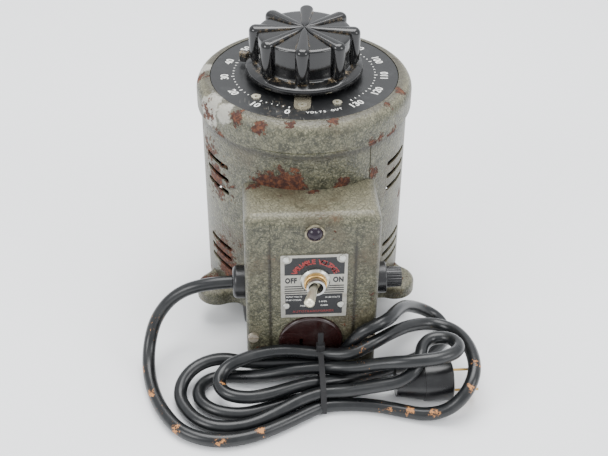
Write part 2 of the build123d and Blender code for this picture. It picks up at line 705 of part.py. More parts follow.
with BuildPart() as lamp_lens:
    with BuildSketch(Plane(origin=(LAMP_X, FRONT_Y, LAMP_Z), x_dir=(1, 0, 0), z_dir=(0, 0, 1))):
        with BuildLine():
            base = Polyline((0, 1), (4.9, 1), (4.9, -1.4))
            cap_arc(4.9, -1.4, -4.8)
            Line((0, -4.8), base @ 0)
        make_face()
    revolve(axis=Axis((LAMP_X, FRONT_Y, LAMP_Z), (0, -1, 0)))
lamp_lens.part.label = "lamp_lens"
export_step(lamp_lens.part, "parts/lamp_lens.step")

with BuildPart() as lamp_holder:
    with BuildSketch(front_plane(LAMP_X, LAMP_Z, FRONT_Y + 22)):
        Circle(4.8)
    extrude(amount=21)
lamp_holder.part.label = "lamp_holder"
export_step(lamp_holder.part, "parts/lamp_holder.step")

# ---- outlet ----
BLADE_GAP = 12.7
with BuildPart() as outlet_body:
    with BuildSketch(front_plane(OUTLET_X, OUTLET_Z, FRONT_Y)):
        Circle(OUTLET_R)
    extrude(amount=2.4)
    fillet(outlet_body.edges().group_by(Axis.Y)[0], radius=1.4)
    with BuildSketch(front_plane(OUTLET_X, OUTLET_Z, FRONT_Y + 22)):
        Circle(17.9)
    extrude(amount=22)
    with BuildSketch(front_plane(OUTLET_X, OUTLET_Z, FRONT_Y + 14)):
        with GridLocations(BLADE_GAP, 0, 2, 1):
            Rectangle(2.0, 8.0)
    extrude(amount=20, mode=Mode.SUBTRACT)
outlet_body.part.label = "outlet_body"
export_step(outlet_body.part, "parts/outlet_body.step")

with BuildPart() as outlet_contacts:
    with BuildSketch(front_plane(OUTLET_X, OUTLET_Z, FRONT_Y + 14)):
        with GridLocations(BLADE_GAP, 0, 2, 1):
            Rectangle(1.9, 7.0)
    extrude(amount=3)
outlet_contacts.part.label = "outlet_contacts"
export_step(outlet_contacts.part, "parts/outlet_contacts.step")

# ---- fuse holder on the right side ----
FUSE_R = 3.17
FUSE_FLANGE = 7.0
FUSE_BACK = 14.0
with BuildPart() as fuse_holder:
    with BuildSketch(right_plane(BOX_X)):
        Circle(10.3)
    extrude(amount=FUSE_FLANGE)
    fillet(fuse_holder.edges().group_by(Axis.X)[-1], radius=0.8)
    with BuildSketch(right_plane(FUSE_BACK)):
        Circle(7.3)
    extrude(amount=BOX_X - FUSE_BACK)
    with BuildSketch(right_plane(FUSE_BACK + 2)):
        Circle(4.4)
    extrude(amount=60, mode=Mode.SUBTRACT)
fuse_holder.part.label = "fuse_holder"
export_step(fuse_holder.part, "parts/fuse_holder.step")

with BuildPart() as fuse_nut:
    with BuildSketch(right_plane(BOX_X - BOX_WALL - 4)):
        RegularPolygon(10.5, 6)
        Circle(7.35, mode=Mode.SUBTRACT)
    extrude(amount=4)
fuse_nut.part.label = "fuse_nut"
export_step(fuse_nut.part, "parts/fuse_nut.step")

CAP_X = BOX_X + FUSE_FLANGE + 0.1
with BuildPart() as fuse_cap:
    with BuildSketch(right_plane(CAP_X)):
        Circle(7.0)
        with PolarLocations(7.0, 24):
            Circle(0.35, mode=Mode.SUBTRACT)
    extrude(amount=10, taper=3)
    with BuildSketch(right_plane(CAP_X - 9)):
        Circle(4.3)
    extrude(amount=9)
    with BuildSketch(right_plane(CAP_X - 9)):
        Circle(FUSE_R + 0.05)
    extrude(amount=9.2, mode=Mode.SUBTRACT)
fuse_cap.part.label = "fuse_cap"
export_step(fuse_cap.part, "parts/fuse_cap.step")

with BuildPart() as fuse:
    with BuildSketch(right_plane(CAP_X - 32.8)):
        Circle(FUSE_R)
    extrude(amount=31.8)
fuse.part.label = "fuse"
export_step(fuse.part, "parts/fuse.step")

# ---- cord bushing on the left side ----
BUSHING_L = 8.0
with BuildPart() as cord_bushing:
    with BuildSketch(left_plane(-BOX_X)):
        Circle(10.8)
    extrude(amount=BUSHING_L)
    fillet(cord_bushing.edges().group_by(Axis.X)[0], radius=3)
    with BuildSketch(left_plane(-BOX_X + 14)):
        Circle(6.9)
    extrude(amount=14)
    with BuildSketch(left_plane(-BOX_X + 14)):
        Circle(CORD_R)
    extrude(amount=40, mode=Mode.SUBTRACT)
cord_bushing.part.label = "cord_bushing"
export_step(cord_bushing.part, "parts/cord_bushing.step")

with BuildPart() as bushing_locknut:
    with BuildSketch(left_plane(-BOX_X + BOX_WALL + 4)):
        RegularPolygon(10.5, 6)
        Circle(6.95, mode=Mode.SUBTRACT)
    extrude(amount=4)
bushing_locknut.part.label = "bushing_locknut"
export_step(bushing_locknut.part, "parts/bushing_locknut.step")

# ---- terminal board inside the box ----
BOARD_Z = 96.0
with BuildPart() as terminal_board:
    with BuildSketch(front_plane(0, BOARD_Z, -69.5)):
        Rectangle(40, 12)
        with GridLocations(8, 0, 5, 1):
            Circle(1.5, mode=Mode.SUBTRACT)
    extrude(amount=2.5)
terminal_board.part.label = "terminal_board"
export_step(terminal_board.part, "parts/terminal_board.step")

with BuildPart() as terminal_screws:
    with BuildSketch(front_plane(0, BOARD_Z, -69.5)):
        with GridLocations(8, 0, 5, 1):
            Circle(1.45)
    extrude(amount=2.5)
    with BuildSketch(front_plane(0, BOARD_Z, -72)):
        with GridLocations(8, 0, 5, 1):
            Circle(2.8)
    extrude(amount=1.8)
terminal_screws.part.label = "terminal_screws"
export_step(terminal_screws.part, "parts/terminal_screws.step")

# ---- mains cord: the free lead, the tied hank, its tie and the plug ----
LEAD_POINTS = [
    (-50.0, -74.0, 58.0),
    (-69.0, -73.5, 57.0),
    (-88.0, -72.5, 48.0),
    (-101.0, -75.0, 32.0),
    (-106.5, -83.0, 16.0),
    (-107.5, -98.0, 6.2),
    (-103.0, -117.0, 4.25),
    (-95.0, -137.0, 4.2),
    (-82.5, -154.0, 4.2),
    (-62.5, -163.0, 4.2),
    (-41.0, -159.0, 4.2),
    (-21.0, -149.0, 4.2),
    (-2.0, -139.0, 4.2),
]


def arc_radii(points):
    """The largest tangent arc each corner allows: 0.45 of its shorter run over tan(half turn)."""
    radii = []
    for before, corner, after in zip(points, points[1:], points[2:]):
        run_in = Vector(*corner) - Vector(*before)
        run_out = Vector(*after) - Vector(*corner)
        half_turn = radians(run_in.get_angle(run_out)) / 2
        radii.append(0.45 * min(run_in.length, run_out.length) / tan(half_turn))
    return radii


lead_radii = arc_radii(LEAD_POINTS)
print("cord lead arc radii", [round(r) for r in lead_radii])
with BuildPart() as cord_lead:
    with BuildLine() as lead_path:
        FilletPolyline(*LEAD_POINTS, radius=lead_radii)
    with BuildSketch(Plane(origin=LEAD_POINTS[0], z_dir=Vector(*LEAD_POINTS[1]) - Vector(*LEAD_POINTS[0]))):
        Circle(CORD_R)
    sweep()
lead_length = sum(e.length for e in lead_path.edges())
lead_volume = lead_length * pi * CORD_R**2
print("cord lead length", round(lead_length), "volume ratio", cord_lead.part.volume / lead_volume)
cord_lead.part.label = "cord_lead"
export_step(cord_lead.part, "parts/cord_lead.step")

WAIST = [(-101.9, 1.8), (-101.9, 22.6), (-139.0, 8.6), (-139.0, 1.8)]
LEFT_LOBES = [
    (-35, -101.9),
    (-47, -95),
    (-60, -88),
    (-76, -93),
    (-90, -106),
    (-84, -128),
    (-74, -144),
    (-52, -153),
    (-35, -148),
    (-8, -138),
]
RIGHT_LOBES = [
    (20, -102.0),
    (40, -102.0),
    (47, -96),
    (48, -74),
    (58, -58),
    (74, -53),
    (92, -60),
    (104, -76),
    (108, -100),
    (105, -122),
    (94, -142),
    (74, -151),
    (52, -148),
    (38, -140),
    (20, -138),
]
with BuildPart() as cord_hank:
    with BuildSketch(Plane(origin=(-38, 0, 0), x_dir=(0, 1, 0), z_dir=(1, 0, 0))):
        with BuildLine():
            Polyline(*WAIST, close=True)
        make_face()
    extrude(amount=76)
    for lobes, height in ((LEFT_LOBES, 17.0), (RIGHT_LOBES, 17.0)):
        with BuildSketch(Plane.XY):
            with BuildLine():
                Polyline(*lobes, close=True)
            make_face()
        extrude(amount=height)
    with BuildSketch(Plane.XY.offset(8)):
        with BuildLine():
            Polyline(
                (18, -102),
                (18, -112),
                (60, -112),
                (74, -90),
                (74, -68),
                (56, -68),
                (47, -84),
                (47, -102),
                close=True,
            )
        make_face()
    extrude(amount=34)
    with BuildSketch(Plane.XY.offset(8)):
        with BuildLine():
            Polyline(
                (38, -109),
                (38, -140),
                (50, -146),
                (86, -146),
                (98, -136),
                (98, -109),
                close=True,
            )
        make_face()
    extrude(amount=25)
    with BuildSketch(Plane(origin=(PLUG_X - 1, PLUG_Y, PLUG_Z), x_dir=(0, 1, 0), z_dir=(1, 0, 0))):
        Circle(PLUG_R + 0.5)
        with Locations((0, -PLUG_Z / 2)):
            Rectangle(2 * PLUG_R + 1, PLUG_Z)
    extrude(amount=PLUG_L + 2, mode=Mode.SUBTRACT)
    with Locations((PLUG_X + PLUG_L + 20, PLUG_Y, 12)):
        Box(40, 17, 24, mode=Mode.SUBTRACT)
    with BuildSketch(Plane.YZ.offset(TIE_X - TIE_W / 2 - 3)):
        with Locations((-120, 15)):
            Rectangle(60, 60)
        with BuildLine():
            Polyline(*WAIST, close=True)
        make_face(mode=Mode.SUBTRACT)
    extrude(amount=TIE_W + 6, mode=Mode.SUBTRACT)
cord_hank.part.label = "cord_hank"
export_step(cord_hank.part, "parts/cord_hank.step")

TIE_HEAD_Z = 24.0
with BuildPart() as cable_tie:
    with BuildSketch(Plane.YZ.offset(TIE_X - TIE_W / 2)):
        with BuildLine():
            Polyline(*WAIST, close=True)
        make_face()
        offset(amount=TIE_T, kind=Kind.ARC)
        with BuildLine():
            Polyline(*WAIST, close=True)
        make_face(mode=Mode.SUBTRACT)
    extrude(amount=TIE_W)
    with Locations((TIE_X, WAIST[0][0] - 1.2, TIE_HEAD_Z + 2.0)):
        Box(5.4, 4.6, 5.0)
    with Locations((TIE_X, WAIST[0][0] - 0.4, TIE_HEAD_Z + 9.0)):
        Box(TIE_W, 1.2, 14.0)
cable_tie.part.label = "cable_tie"
export_step(cable_tie.part, "parts/cable_tie.step")

blade_way = (0, cos(radians(45)), sin(radians(45)))
plug_axis = Plane(origin=(PLUG_X, PLUG_Y, PLUG_Z), x_dir=blade_way, z_dir=(1, 0, 0))
with BuildPart() as plug_body:
    with BuildSketch(plug_axis):
        Circle(9.2)
    extrude(amount=PLUG_BACK, taper=-9)
    with BuildSketch(plug_axis.offset(PLUG_BACK)):
        Circle(PLUG_R)
    extrude(amount=PLUG_L - PLUG_BACK)
    fillet(plug_body.edges().group_by(Axis.X)[-1], radius=1.2)
plug_body.part.label = "plug_body"
export_step(plug_body.part, "parts/plug_body.step")

with BuildPart() as plug_blades:
    with BuildSketch(plug_axis.offset(PLUG_L)):
        with GridLocations(BLADE_GAP, 0, 2, 1):
            Rectangle(1.5, 6.3)
    extrude(amount=16.5)
plug_blades.part.label = "plug_blades"
export_step(plug_blades.part, "parts/plug_blades.step")
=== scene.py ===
# %% [markdown]
# # A bench variable autotransformer
# The object is a painted steel drum with a big ribbed knob, a folded control box and a tied rubber cord.
# The CAD frame already has every hard part in its right shape and place, so this lesson paints them,
# adds the finer shapes, the printed dial and plate, and lays the cord out.

# %% The frame
import math

import bmesh
import bpy
import numpy as np
from mathutils import Matrix, Vector


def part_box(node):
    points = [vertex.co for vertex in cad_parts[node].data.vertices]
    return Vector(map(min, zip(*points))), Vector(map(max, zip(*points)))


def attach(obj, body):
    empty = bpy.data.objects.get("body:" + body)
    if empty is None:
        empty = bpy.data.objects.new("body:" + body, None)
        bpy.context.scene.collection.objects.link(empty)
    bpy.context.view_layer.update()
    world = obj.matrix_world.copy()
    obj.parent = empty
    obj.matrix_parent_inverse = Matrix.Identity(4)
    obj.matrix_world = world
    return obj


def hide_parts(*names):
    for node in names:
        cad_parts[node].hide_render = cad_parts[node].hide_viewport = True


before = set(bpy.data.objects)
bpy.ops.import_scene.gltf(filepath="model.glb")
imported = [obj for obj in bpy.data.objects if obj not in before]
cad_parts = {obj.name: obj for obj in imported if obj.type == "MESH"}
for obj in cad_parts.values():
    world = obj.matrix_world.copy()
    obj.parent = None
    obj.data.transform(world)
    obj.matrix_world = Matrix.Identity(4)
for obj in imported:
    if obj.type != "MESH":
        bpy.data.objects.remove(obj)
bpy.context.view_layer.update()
MM = 0.001

# %% [markdown]
# ## Camera
# The view is from a little left of the front and well above, with a long lens, as for a catalogue picture.
# Three angles and a distance fix it, so it is easier to read than a pasted matrix.

# %% Camera
AZIMUTH, ELEVATION, ROLL = math.radians(-3.71), math.radians(36.03), math.radians(0.44)
TARGET = Vector((0.0006, 0.0, 0.0453))
DISTANCE = 0.7548
LENS = 62.77

level = math.cos(ELEVATION)
back = Vector((math.sin(AZIMUTH) * level, -math.cos(AZIMUTH) * level, math.sin(ELEVATION)))
camera = bpy.data.objects.new("camera", bpy.data.cameras.new("camera"))
camera.data.lens = LENS
camera.location = TARGET + back * DISTANCE
roll = Matrix.Rotation(ROLL, 3, "Z").to_quaternion()
camera.rotation_euler = (back.to_track_quat("Z", "Y") @ roll).to_euler()
bpy.context.scene.collection.objects.link(camera)
bpy.context.scene.camera = camera
print("camera at", [round(v, 4) for v in camera.location])

# %% [markdown]
# ## Studio
# A pale floor, a wide soft light overhead and two softer ones at the sides. The gloss on the knob is
# only the reflection of these three lights, so their size and place decide how the bakelite reads.

# %% Studio
LIT_POINT = Vector((0, -0.03, 0.08))
LIGHTS = [
    ("light_top", (0.05, 0.35, 1.5), 1.2, 34),
    ("light_left", (-1.05, -0.75, 0.85), 0.6, 9),
    ("light_right", (1.0, -0.7, 0.75), 0.55, 6),
]
SKY_COLOUR, SKY_STRENGTH = (0.95, 0.97, 1.0, 1), 1.2


def area_light(name, place, size, watts):
    """A square soft light at place, turned to face the lit point."""
    lamp = bpy.data.objects.new(name, bpy.data.lights.new(name, "AREA"))
    lamp.data.size = size
    lamp.data.energy = watts
    lamp.location = place
    lamp.rotation_euler = (Vector(place) - LIT_POINT).to_track_quat("Z", "Y").to_euler()
    bpy.context.scene.collection.objects.link(lamp)


for light in LIGHTS:
    area_light(*light)
world = bpy.data.worlds.new("studio")
world.use_nodes = True
sky = world.node_tree.nodes["Background"].inputs
sky["Color"].default_value = SKY_COLOUR
sky["Strength"].default_value = SKY_STRENGTH
bpy.context.scene.world = world
print("lights", [name for name, *_ in LIGHTS])

# %% [markdown]
# ## Shader maths as expressions
# A finish is a formula over the surface. Wrapping a node socket in a small class lets the formula be
# written as one, such as 1 - mask * 0.5, and every operator adds its Math node.

# %% A socket that does sums
class Wire:
    """One value or colour in a material. The usual operators on it add Math nodes."""

    def __init__(self, finish, socket):
        self.finish, self.socket = finish, socket

    def maths(self, operation, *values):
        """A Math node on the values, in their order."""
        return self.finish.node("ShaderNodeMath", {"operation": operation}, dict(enumerate(values)))

    def __add__(self, other):
        return self.maths("ADD", self, other)

    def __sub__(self, other):
        return self.maths("SUBTRACT", self, other)

    def __rsub__(self, other):
        return self.maths("SUBTRACT", other, self)

    def __mul__(self, other):
        return self.maths("MULTIPLY", self, other)

    def __truediv__(self, other):
        return self.maths("DIVIDE", self, other)

    def __gt__(self, other):
        return self.maths("GREATER_THAN", self, other)

    def __lt__(self, other):
        return self.maths("LESS_THAN", self, other)

    def __abs__(self):
        return self.maths("ABSOLUTE", self)

    __radd__, __rmul__ = __add__, __mul__

    def least(self, other):
        return self.maths("MINIMUM", self, other)

    def most(self, other):
        return self.maths("MAXIMUM", self, other)

    def ramp(self, low, high):
        """0 below low and 1 above high, with a smooth slope between."""
        settings = {"interpolation_type": "SMOOTHSTEP", "clamp": True}
        values = {"Value": self, "From Min": low, "From Max": high}
        return self.finish.node("ShaderNodeMapRange", settings, values)


print("a wire can", [name for name, value in vars(Wire).items() if callable(value)])

# %% [markdown]
# ## A material under construction
# All patterns read Object coordinates, which are metres on the object itself, so a noise can be asked
# for by the size of its blobs. Image textures would need unwrapping and would blur close up. The class
# keeps the tree, adds any node through one method, and joins the finished values to the shader.

# %% The finish class
class Finish:
    """A material under construction: its node tree, its Object coordinates and its shader."""

    def __init__(self, name):
        self.material = bpy.data.materials.new(name)
        self.material.use_nodes = True
        self.tree = self.material.node_tree
        self.shader = self.tree.nodes["Principled BSDF"]
        self.place = self.node("ShaderNodeTexCoord", {}, {}, "Object")

    def node(self, kind, settings, values, output=0):
        """Adds a node: its settings first, then its sockets' values or links. Returns one output."""
        made = self.tree.nodes.new(kind)
        for key, value in settings.items():
            setattr(made, key, value)
        for key, value in values.items():
            if isinstance(value, Wire):
                self.tree.links.new(value.socket, made.inputs[key])
            else:
                made.inputs[key].default_value = value
        return Wire(self, made.outputs[output])

    def noise(self, size_mm, detail=3.0, rough=0.55, shift=0.0):
        """Noise whose blobs are about size_mm across, from 0 to 1."""
        where = self.node("ShaderNodeMapping", {}, {"Vector": self.place, "Location": (shift,) * 3})
        values = {"Vector": where, "Scale": 1000.0 / size_mm, "Detail": detail, "Roughness": rough}
        return self.node("ShaderNodeTexNoise", {}, values)

    def cloud(self, size_mm):
        """Noise as a vector, to bend another pattern with."""
        values = {"Vector": self.place, "Scale": 1000.0 / size_mm}
        return self.node("ShaderNodeTexNoise", {}, values, "Color")

    def axis(self, letter):
        """The X, Y or Z of the surface, in millimetres."""
        return self.node("ShaderNodeSeparateXYZ", {}, {"Vector": self.place}, letter) * 1000.0

    def near(self, point_mm, reach_mm):
        """1 at a point, falling to 0 at reach."""
        point = tuple(v * MM for v in point_mm)
        ends = {0: self.place, 1: point}
        far = self.node("ShaderNodeVectorMath", {"operation": "DISTANCE"}, ends, "Value")
        return 1.0 - (far / (reach_mm * MM)).least(1.0)

    def facing_up(self):
        """1 where the surface faces up, 0 where it is upright, -1 where it faces down."""
        normal = self.node("ShaderNodeNewGeometry", {}, {}, "Normal")
        return self.node("ShaderNodeSeparateXYZ", {}, {"Vector": normal}, "Z")

    def mix(self, share, first, second):
        """first where share is 0, second where it is 1."""
        first, second = [(*c, 1.0) if isinstance(c, tuple) else c for c in (first, second)]
        settings = {"data_type": "RGBA"}
        return self.node("ShaderNodeMix", settings, {0: share, 6: first, 7: second}, 2)

    def bump(self, height, depth_mm, strength):
        """The normal of a surface raised by height times depth_mm, as far as strength goes."""
        values = {"Height": height, "Distance": depth_mm * MM, "Strength": strength}
        return self.node("ShaderNodeBump", {}, values)

    def done(self, colour=None, rough=None, normal=None, metal=None, **fixed):
        """Joins the finished values to the shader; fixed ones are set on its own sockets."""
        varying = {"Base Color": colour, "Roughness": rough, "Normal": normal, "Metallic": metal}
        for name, value in varying.items():
            if isinstance(value, Wire):
                self.tree.links.new(value.socket, self.shader.inputs[name])
            elif value is not None:
                plain = (*value, 1.0) if isinstance(value, tuple) else value
                self.shader.inputs[name].default_value = plain
        for name, value in fixed.items():
            self.shader.inputs[name.replace("_", " ")].default_value = value
        print("finish", self.material.name, "nodes", len(self.tree.nodes))
        return self.material


print("a finish can", [name for name in vars(Finish) if not name.startswith("__")])

# %% [markdown]
# ## Hammertone paint
# The drum, cover, base and box are sprayed with grey-green hammer paint, now dull, stained and chipped.
# A scanned picture would repeat and would need unwrapping, so the paint is worked out instead: a fine
# grain, a net of cracks between hammered cells, a mottle and wide stains. Chips are noise that is
# allowed only near chosen points, where the paint has worn to primer and rust.

# %% Hammertone paint
CELL_DARK, CELL_PALE = (0.036, 0.036, 0.021), (0.122, 0.117, 0.073)
GRAIN_DARK, GRAIN_PALE = (0.014, 0.013, 0.008), (0.26, 0.245, 0.165)
# The second colour on the next line is painted top light, a paler yellowish tint for faces that point up.
CRACK_LINE, TOP_LIGHT_TINT = (0.02, 0.024, 0.015), (0.25, 0.23, 0.155)
# Of the next line's colours, the second darkens the paint in bands and is painted shade on the box, and the
# third is the pale tint of a painted highlight mixed with rubbed paint.
STAIN, DARKENING_TINT, HIGHLIGHT_AND_RUBBED = (0.06, 0.046, 0.024), (0.018, 0.015, 0.009), (0.42, 0.41, 0.36)
RUST_DARK, RUST_ORANGE, RUST_HALO = (0.035, 0.01, 0.006), (0.15, 0.052, 0.021), (0.1, 0.045, 0.016)


def hammer_paint(name, chips, seed, darkening=None, highlight_patches=()):
    """Grey-green mottled paint. chips and the last argument are lists of (point, reach, strength), for rust
    and for a painted highlight mixed with rubbed, chalky paint; the fourth argument is a function of the
    finish that returns a darkening from 0 to 1, which is painted shade on the box."""
    f = Finish(name)
    grain = f.noise(1.2, 4, 0.7, seed)
    bent = {0: f.cloud(7.0), 1: (0.0022,) * 3, 2: f.place}
    warped = f.node("ShaderNodeVectorMath", {"operation": "MULTIPLY_ADD"}, bent)
    net = {"Vector": warped, "Scale": 330.0}
    crack = f.node("ShaderNodeTexVoronoi", {"feature": "DISTANCE_TO_EDGE"}, net)
    mottle = f.noise(5.0, 5, 0.65, seed + 1)
    stain = f.noise(34, 4, 0.6, seed + 2)
    worn = f.noise(11, 6, 0.7, seed + 3)
    up = f.facing_up()
    colour = f.mix(mottle.ramp(0.36, 0.64), CELL_DARK, CELL_PALE)
    # Painted top light: faces that point up are mixed towards the paler tint, patchy with the mottle.
    colour = f.mix(up.ramp(0.35, 0.95) * (0.3 + mottle * 0.35), colour, TOP_LIGHT_TINT)
    colour = f.mix(grain.ramp(0.5, 0.68) * 0.7, colour, GRAIN_PALE)
    colour = f.mix(grain.ramp(0.47, 0.3) * 0.75, colour, GRAIN_DARK)
    dark_line = (1 - crack.ramp(0.0, 0.09)) * mottle.ramp(0.35, 0.55)
    colour = f.mix(dark_line * 0.75, colour, CRACK_LINE)
    colour = f.mix(stain.ramp(0.47, 0.68) * 0.6, colour, STAIN)
    # The darkening bands: painted shade beside the box's raised strip and on its sides; elsewhere the bands
    # only darken the paint.
    if darkening:
        colour = f.mix(darkening(f) * (0.45 + grain * 0.6), colour, DARKENING_TINT)
    # Painted highlight with rubbed paint: near each listed point the paint turns pale, patchy with the wear
    # noise.
    for point, reach, strength in highlight_patches:
        patch = (f.near(point, reach) * strength + worn * 1.1 - 0.82).ramp(0.0, 0.16)
        colour = f.mix(patch * 0.75, colour, HIGHLIGHT_AND_RUBBED)
    rust = f.noise(5.0, 8, 0.78, seed + 4)
    bare = None
    for point, reach, strength in chips:
        spot = (f.near(point, reach) * 0.55 * strength + rust * 1.5 - 1.0).ramp(0.0, 0.07)
        bare = spot if bare is None else bare.most(spot)
    speck = (f.noise(3.6, 6, 0.75, seed + 5) * 0.6 + stain * 0.5).ramp(0.685, 0.695)
    bare = bare.most(speck)
    orange = f.noise(2.6, 5, 0.7, seed + 6).ramp(0.4, 0.68)
    rust_colour = f.mix(orange, RUST_DARK, RUST_ORANGE)
    colour = f.mix(bare, colour, rust_colour)
    halo = worn.ramp(0.58, 0.7) * stain.ramp(0.48, 0.6)
    colour = f.mix(halo * 0.6 * (1 - bare), colour, RUST_HALO)
    rough = 0.33 + mottle * 0.16 + bare * 0.4
    height = crack.ramp(0.0, 0.25) * 0.6 + grain * 0.4 - bare * 1.2
    return f.done(colour, rough, f.bump(height, 0.35, 0.7), Specular_IOR_Level=0.5)


print("paint layers", ["mottle", "grain", "cracks", "stains", "painted top light", "darkening", "worn", "rust"])

# %% [markdown]
# ## Where the paint is darker
# The paint is darker at the foot of the drum, under the cover's lip, in the rim round the dial and low on
# the box.
# Beside the raised strip of the box and on its sides the darkening is painted shade. Each place is a band
# on the object's own axes.

# %% Darkening bands, partly painted shade
STRIP_EDGE_X, BOX_SIDE_X = 26.6, 42.0


def drum_grime(f):
    """Darker at the foot of the drum and under the cover's lip."""
    z = f.axis("Z")
    return (1 - z.ramp(28, 40)).most(z.ramp(141, 147))


def box_grime(f):
    """Painted shade in a line beside each edge of the raised strip and over the box's sides, and darker low
    down on the box.
    """
    x, z = abs(f.axis("X")), f.axis("Z")
    beside = (1 - abs(x - STRIP_EDGE_X).ramp(0.2, 2.2)) * z.ramp(2, 10) * (1 - z.ramp(96, 112))
    side = x.ramp(BOX_SIDE_X - 1.5, BOX_SIDE_X)
    return beside.most(side * 0.45).most((1 - z.ramp(2, 22)) * 0.7)


def cover_grime(f):
    """Darker in the rim by the dial and along the seam."""
    z = f.axis("Z")
    return (1 - z.ramp(146.5, 149.5)).most(z.ramp(167.6, 169.2) * 0.8)


print("grime bands", [band.__name__ for band in (drum_grime, box_grime, cover_grime)])

# %% [markdown]
# ## Where the paint has gone
# Each chip is a point on the surface in millimetres, a reach, and a strength. The points are listed one
# by one, because knocks aren't spread evenly: most are at the box's top, the cover's edge and the slots.

# %% Chips and the four painted parts
DRUM_CHIPS = [
    ((-14, -65.5, 127), 20, 1.05), ((-21, -63, 125), 15, 1.1), ((-30, -60, 126), 12, 1.0),
    ((20, -63.5, 125), 8, 1.25), ((-62, -25, 128), 22, 0.75), ((-58, -33, 112), 26, 0.85),
    ((-56, -37, 52), 24, 0.95), ((-52, -42, 42), 22, 1.0), ((-66, -5, 140), 20, 0.5),
    ((40, -54, 126), 8, 0.9), ((0, 67, 60), 25, 0.6), ((62, -24, 90), 14, 0.6),
]
COVER_CHIPS = [
    ((-30, -60, 164), 8, 1.05), ((-44, -50, 166), 9, 1.1), ((-12, -63, 168), 6, 0.95),
    ((14, -62, 168), 6, 1.0), ((48, -42, 166), 6, 1.1), ((58, -26, 166), 7, 1.1),
    ((-62, -30, 158), 14, 0.85), ((40, -56, 149), 13, 0.85), ((-55, -40, 150), 9, 0.85),
    ((63, 20, 165), 8, 0.9), ((-20, 66, 160), 12, 0.8), ((-66, 0, 166), 10, 1.0),
    ((52, -44, 148), 10, 0.95),
]
BASE_CHIPS = [
    ((64, -36, 28), 10, 0.75), ((-66, -34, 28), 12, 0.9), ((60, -24, 28), 12, 0.8),
    ((0, 74, 28), 12, 0.9),
]
BOX_CHIPS = [
    ((-36, -60, 123), 9, 0.8), ((-34, -97, 20), 12, 0.6), ((40, -97, 60), 8, 0.5),
    ((2, -68, 123), 6, 0.9),
]
# The pale patches below are a painted highlight on the cover's front left, mixed with rubbed, chalky paint.
COVER_HIGHLIGHT_PATCHES = [
    ((-58, -30, 160), 17, 0.9), ((-50, -42, 163), 12, 0.8), ((-30, -58, 160), 7, 0.7),
    ((-63, 10, 164), 12, 0.7),
]
paints = {
    "drum_shell": hammer_paint("paint_drum", DRUM_CHIPS, 0.0, drum_grime),
    "top_cover": hammer_paint("paint_cover", COVER_CHIPS, 3.1, cover_grime, COVER_HIGHLIGHT_PATCHES),
    "base_plate": hammer_paint("paint_base", BASE_CHIPS, 5.7),
    "control_box": hammer_paint("paint_box", BOX_CHIPS, 8.3, box_grime),
}

# %% [markdown]
# ## Bakelite
# Moulded bakelite is glossy where fingers rub it and dull under a film of dust. A coat layer would look
# like varnish, so the gloss is the plastic's own, and the dust raises the roughness.

# %% Bakelite
def bakelite(name, base, dust, gloss, dust_low, dust_high):
    """Moulded bakelite: dust lies between two heights (mm), in a patchy film."""
    f = Finish(name)
    z = f.axis("Z")
    patch = f.noise(6, 5, 0.7)
    fine = f.noise(0.9, 3, 0.6, 2.0)
    lying = z.ramp(dust_low - 1.2, dust_low) * (1 - z.ramp(dust_high, dust_high + 1.5))
    film = lying * (patch * 0.7 + fine * 0.4).ramp(0.52, 0.72)
    colour = f.mix(film * 0.75, base, dust)
    haze = f.noise(18, 4, 0.6, 4.0).ramp(0.4, 0.75)
    colour = f.mix(haze * 0.16, colour, (0.09, 0.09, 0.085))
    rough = gloss + haze * 0.14 + film * 0.4
    return f.done(colour, rough, f.bump(fine, 0.03, 0.25), Specular_IOR_Level=0.6)


black_knob = bakelite("bakelite_knob", (0.008, 0.008, 0.009), (0.36, 0.27, 0.15), 0.16, 175.2, 177.6)
brown_outlet = bakelite("bakelite_outlet", (0.018, 0.0055, 0.005), (0.06, 0.04, 0.03), 0.13, 0.0, 8.0)
black_small = bakelite("bakelite_small", (0.01, 0.01, 0.011), (0.12, 0.1, 0.07), 0.24, 0.0, 20.0)

# %% [markdown]
# ## Rubber
# Old rubber is near black with a grey bloom. The cord has also lost flakes of its skin, which show the
# orange layer below. The flakes are noise near chosen points along the cord.

# %% Rubber
def rubber(name, base, scuff, scuff_share, spots=()):
    """Aged rubber: a greyish bloom with scuffs of another colour, more of them near the spots."""
    f = Finish(name)
    grain = f.noise(0.8, 4, 0.6)
    bloom = f.noise(14, 5, 0.65, 1.0)
    torn = f.noise(2.6, 6, 0.8, 2.0)
    marks = (torn * 0.75 + f.noise(45, 2, 0.5, 3.0) * 0.45).ramp(scuff_share, scuff_share + 0.025)
    for point, reach in spots:
        marks = marks.most((f.near(point, reach) * 0.42 + torn - 0.84).ramp(0.0, 0.03))
    colour = f.mix(bloom.ramp(0.4, 0.75) * 0.45, base, (0.028, 0.029, 0.029))
    colour = f.mix(marks * 0.8, colour, scuff)
    return f.done(colour, 0.2 + bloom * 0.2 + marks * 0.4, f.bump(grain, 0.06, 0.3), Specular_IOR_Level=0.5)


black_rubber = rubber("rubber_parts", (0.006, 0.006, 0.007), (0.05, 0.045, 0.04), 0.8)
SCUFFS = [
    ((58, -146, 8), 10), ((72, -150, 10), 11), ((96, -144, 24), 9), ((102, -128, 28), 10),
    ((46, -142, 6), 7), ((-110, -100, 8), 9), ((-105, -122, 7), 12), ((-88, -152, 6), 12),
    ((-60, -166, 7), 14), ((-35, -158, 7), 10), ((-58, -124, 16), 7), ((90, -100, 34), 7),
]
cord_rubber = rubber("rubber_cord", (0.006, 0.007, 0.008), (0.62, 0.27, 0.085), 0.75, SCUFFS)

# %% [markdown]
# ## Metals
# Turned brass, plated nickel, zinc and steel differ in colour and gloss, but all keep a fine brushing
# and patches of tarnish, so one recipe makes them. Tarnish is less metallic and rougher.

